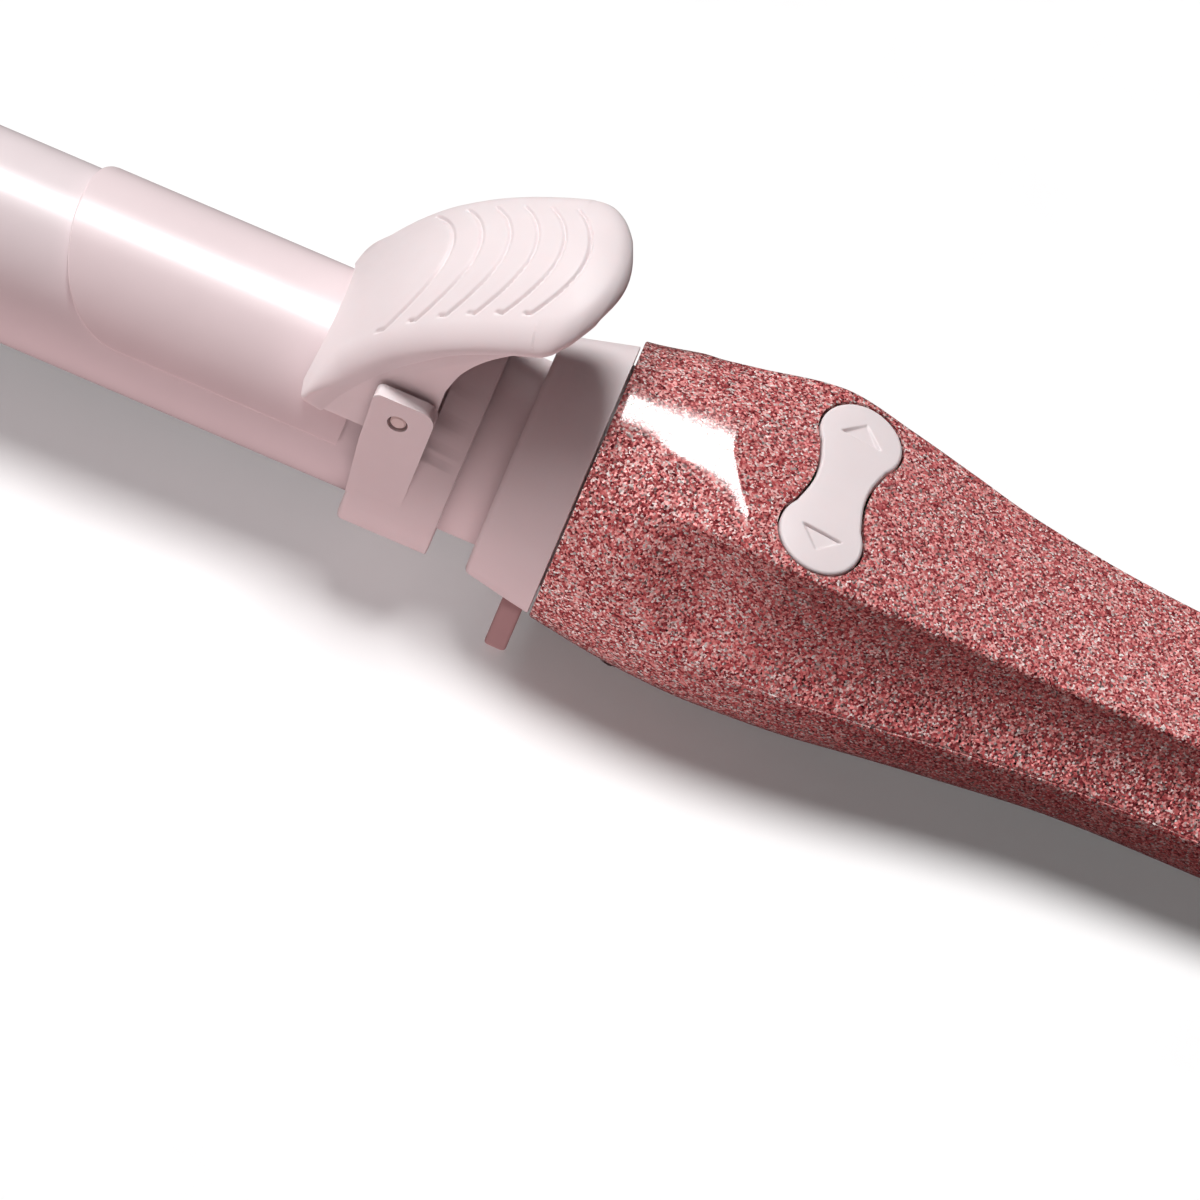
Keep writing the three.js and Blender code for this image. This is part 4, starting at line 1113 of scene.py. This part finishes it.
def make_swivel():
    """Ribbed bush that turns in the rear cap, with an open hole for the cord."""
    ribs = []
    for x in np.arange(192.0, 198.6, 1.6):
        r = 6.4 - (x - 192) * 0.2
        ribs += [(x, r, 0.15), (x + 0.9, r - 0.1, 0.15), (x + 1.0, r - 0.75, 0.1), (x + 1.5, r - 0.85, 0.1)]
    profile = [(176, SWIVEL_BORE, 0), (176, 7, 0.3), (178, 7, 0.3), (178, 5, 0), (CAP_REAR + 0.5, 5, 0),
               (CAP_REAR + 0.5, 6.5, 0.4), *ribs, (200, 4.9, 0.4), (200, SWIVEL_BORE, 0.25)]
    made = turned("cord_bush", rounded_profile(profile, 3), 96, centre=(0, SWIVEL_Z))
    dress(made, black, "cord_bush", "black_plastic", "cord_swivel")


def dished_key(name, x, body, node, mark):
    """Round push key with a shallow dish and a generic raised mark."""
    count, rim, bottom = 72, 0.5, 9.0
    top = along(HANDLE, x)[2] + 0.5
    rounded = KEY_R - rim * (1 - np.sin(np.linspace(0, 1, 6) * math.pi / 2))[1:]
    radii = np.concatenate([np.linspace(0, KEY_R - rim, 26), rounded])
    angles = full_turn(count)
    a, r = np.meshgrid(angles, radii, indexing="ij")
    px, py = r * np.cos(a), r * np.sin(a)
    edge = np.clip((r - (KEY_R - rim)) / rim, 0, 1)
    z = top - 0.28 * (1 - smoothstep(r, 1.2, 3.0)) - rim * (1 - np.sqrt(1 - edge**2)) + mark(px, py)
    upper = np.stack([x + px, py, z], -1).reshape(-1, 3)
    skirt = np.column_stack([x + KEY_R * np.cos(angles), KEY_R * np.sin(angles), np.full(count, bottom)])
    columns, start = len(radii), len(upper)
    faces = grid_faces(count, columns, wrap_rows=True)
    for i in range(count):
        after = (i + 1) % count
        faces.append([(i + 1) * columns - 1, (after + 1) * columns - 1, start + after, start + i])
    faces.append(list(range(start, start + count)))
    made = mesh_object(name, np.concatenate([upper, skirt]), faces, sharp=50)
    dress(made, pink, body, "pink_plastic", node)


def ring_mark(x, y):
    return 0.12 * (smoothstep(np.hypot(x, y), 1.0, 1.15) - smoothstep(np.hypot(x, y), 1.35, 1.5))


def bar_mark(x, y):
    flat = (1 - smoothstep(np.abs(x), 0.12, 0.26)) * (1 - smoothstep(np.abs(y), 1.2, 1.4))
    return 0.12 * flat


def make_window():
    """Smoked cover of the small display, crowned like the handle around it."""
    half_x, half_y = (half - 0.3 for half in WINDOW_HALF)
    radius, crown = 1.0, 0.035 / 1.6
    loop = rounded_rectangle(0, half_x, half_y, radius)
    xs, ys = np.linspace(-half_x, half_x, 61), np.linspace(-half_y, half_y, 41)
    x, y = np.meshgrid(xs, ys, indexing="ij")
    corner_x, corner_y = np.abs(x) - (half_x - radius), np.abs(y) - (half_y - radius)
    outside = np.hypot(np.maximum(corner_x, 0), np.maximum(corner_y, 0))
    in_corner = (corner_x > 0) & (corner_y > 0) & (outside > radius)
    pull = np.where(in_corner, radius / np.maximum(outside, 1e-6), 1)
    x = np.where(corner_x > 0, np.sign(x) * (half_x - radius + np.maximum(corner_x, 0) * pull), x)
    y = np.where(corner_y > 0, np.sign(y) * (half_y - radius + np.maximum(corner_y, 0) * pull), y)
    top_z = np.array([along(HANDLE, WINDOW_X + v)[2] for v in xs])[:, None] - 0.2
    inset = distance_to_line(x, y, np.concatenate([loop, loop[:1]]))
    z = top_z - crown * y * y - round_over(inset, 0.3)
    top = np.stack([x + WINDOW_X, y, z], -1).reshape(-1, 3)
    bottom = top.copy()
    bottom[:, 2] = top_z.min() - 1.5
    made = between_grids("display_cover", top, bottom, *x.shape, sharp=50)
    dress(made, window_tint, "handle", "dark_lens", "display_window")


# ------------------------------------------------------------------ stage
TURN = math.radians(23.13)             # the barrel's fall to the right in the picture
ELEVATION = math.radians(50)
PICTURE_WIDTH = 0.1519                 # metres of the scene that the picture spans
LENS, SENSOR = 700.0, 36.0


def make_camera():
    into_up = math.sin(ELEVATION) * across_y + math.cos(ELEVATION) * upright_z
    right = math.cos(TURN) * along_x + math.sin(TURN) * into_up
    up = -math.sin(TURN) * along_x + math.cos(TURN) * into_up
    back = np.cross(right, up)
    target = origin + 0.0078 * along_x - 0.0128 * into_up
    place = target + back * PICTURE_WIDTH * LENS / SENSOR
    data = bpy.data.cameras.new("camera")
    data.lens = LENS
    data.sensor_width = SENSOR
    data.clip_end = 50
    camera = added("camera", data)
    matrix = Matrix.Identity(4)
    for column, axis in enumerate((right, up, back, place)):
        for row in range(3):
            matrix[row][column] = axis[row]
    camera.matrix_world = matrix
    bpy.context.scene.camera = camera


def hidden_light(name, data, receivers, blockers, gloss):
    """Adds a light for chosen receivers and blockers, seen either in their gloss or in their shade."""
    light = added(name, data)
    light.visible_glossy = gloss
    light.visible_diffuse = not gloss
    light.visible_camera = False
    light.light_linking.receiver_collection = receivers
    light.light_linking.blocker_collection = blockers
    return light


def card_light(name, place, aim, size, power, receivers, blockers, gloss=True):
    """A rectangle of light at a place, turned to face its aim."""
    data = bpy.data.lights.new(name, "AREA")
    data.shape = "RECTANGLE"
    data.size, data.size_y = size
    data.energy = power
    light = hidden_light(name, data, receivers, blockers, gloss)
    light.location = place
    light.rotation_euler = (Vector(aim) - Vector(place)).to_track_quat("-Z", "Y").to_euler()


def soft_sun(name, direction, spread, colour, strength, receivers, blockers, gloss=False):
    """A broad soft light from one direction."""
    data = bpy.data.lights.new(name, "SUN")
    data.angle = spread
    data.color = colour
    data.energy = strength
    light = hidden_light(name, data, receivers, blockers, gloss)
    light.rotation_euler = Vector(direction).to_track_quat("Z", "Y").to_euler()


def make_flag():
    """A black card close over the handle that cuts its highlight short of the rocker."""
    outline = [(15.0, 4), (15.7, 0.3), (18.4, -5.6), (20.2, -8.5), (20.6, -15), (25.5, -15), (25.5, 4)]
    height = 23.3
    mesh = bpy.data.meshes.new("flag")
    corners = to_row([[x, y, height] for x, y in outline]).tolist()
    mesh.from_pydata(corners, [], [list(range(len(outline)))])
    flag = added("flag", mesh)
    card = Shader("black_card")
    card.colour(card.ramp(card.noise(40), [(0.3, grey(0.001)), (0.7, grey(0.002))]))
    card.set(Roughness=1.0, Specular_IOR_Level=0.0)
    mesh.materials.append(card.material)
    flag.visible_camera = False
    flag.visible_diffuse = False
    return flag


def group(name, members):
    made = bpy.data.collections.new(name)
    for member in members:
        made.objects.link(member)
    return made


def make_floor():
    size = 3.0
    mesh = bpy.data.meshes.new("floor")
    corners = [(-size, -size, 0), (size, -size, 0), (size, size, 0), (-size, size, 0)]
    mesh.from_pydata(corners, [], [[0, 1, 2, 3]])
    floor = added("floor", mesh)
    paper = Shader("white_paper")
    paper.colour(paper.ramp(paper.noise(40), [(0.3, grey(0.93)), (0.7, grey(0.95))]))
    paper.set(Roughness=0.9)
    floor.data.materials.append(paper.material)
    floor.visible_diffuse = False
    floor.visible_glossy = False
    return floor


def make_lights(floor):
    """Suns and cards for four groups: the floor, the two shells, all other pieces, and the whole iron."""
    ground = group("ground", [floor])
    iron = group("iron", [o for o in bpy.context.scene.objects if o.type == "MESH" and o is not floor])
    shells = group("shells", [bpy.data.objects[name] for name in ("upper_shell", "lower_shell")])
    plain = group("plain", [o for o in iron.objects if o.name not in shells.objects])
    handle_blocks = group("handle_blocks", list(shells.objects))
    white = (1, 1, 1)
    for sun in (
            ("key", (-0.26, 0.34, 0.9), 0.3, white, 3.1, plain, iron),
            ("left", (-0.85, 0.1, 0.5), 0.8, white, 1.1, plain, iron),
            ("bounce", (0, -0.55, -0.83), 2.0, (1, 0.78, 0.79), 2.1, plain, iron),
            ("front", (0, -0.98, 0.1), 1.2, (1, 0.8, 0.81), 0.65, plain, iron),
            ("glow", (-0.15, 0.3, 0.94), 0.9, white, 1.3, plain, iron, True),
            ("shell_key", (-0.3, 0.0, 0.95), 0.4, white, 3.4, shells, iron),
            ("shell_side", (0, -0.42, 0.9), 0.6, (1, 0.95, 0.95), 0.3, shells, iron),
            ("shell_low", (-0.5, -0.7, -0.5), 0.8, (1, 0.82, 0.82), 0.6, shells, iron),
            ("shell_far", (-0.1, 0.6, 0.8), 0.6, white, 0.6, shells, iron),
            ("shadow", (0, 0, 1), 0.44, (1, 0.97, 0.97), 2.75, ground, iron),
            ("handle_shadow", (0, 0, 1), 0.44, (0.85, 1, 1), 0.25, ground, handle_blocks),
            ("floor_fill", (0, 0, 1), 0.5, (0.8, 1, 1), 0.43, ground, ground)):
        soft_sun(*sun)
    middle = tuple(origin)
    card_light("strip", (middle[0], 0.66, 1.88), middle, (0.7, 0.9), 20.0, plain, iron)
    patch = to_row([[10, -4, 20]])[0]
    above = patch + 2.0 * (-0.07 * along_x + 0.53 * across_y + 0.845 * upright_z)
    flags = group("flags", [make_flag()])
    card_light("shell_strip", tuple(above), tuple(patch), (0.3, 0.6), 63.0, shells, flags)
    side, beside = to_row([[6, -19, -3], [2, -62, -18]])
    card_light("shell_spot", tuple(beside), tuple(side), (0.03, 0.03), 0.02, shells, iron, gloss=False)


def make_world():
    world = bpy.data.worlds.new("studio")
    world.use_nodes = True
    set_inputs(world.node_tree.nodes["Background"], {"Color": (1, 0.55, 0.57, 1), "Strength": 0.045})
    bpy.context.scene.world = world
    bpy.context.scene.view_settings.view_transform = "Standard"


make_camera()
repaint_nodes()
make_barrel()
make_neck()
make_bracket()
make_pin()
make_clamp_plate()
make_lever()
make_shells()
make_rocker(top_table())
make_foot()
make_collar()
make_rear_cap()
make_swivel()
dished_key("power_key_cap", POWER_X, "power_key", "power_button", ring_mark)
dished_key("heat_key_cap", HEAT_X, "heat_key", "heat_button", bar_mark)
make_window()
make_lights(make_floor())
make_world()
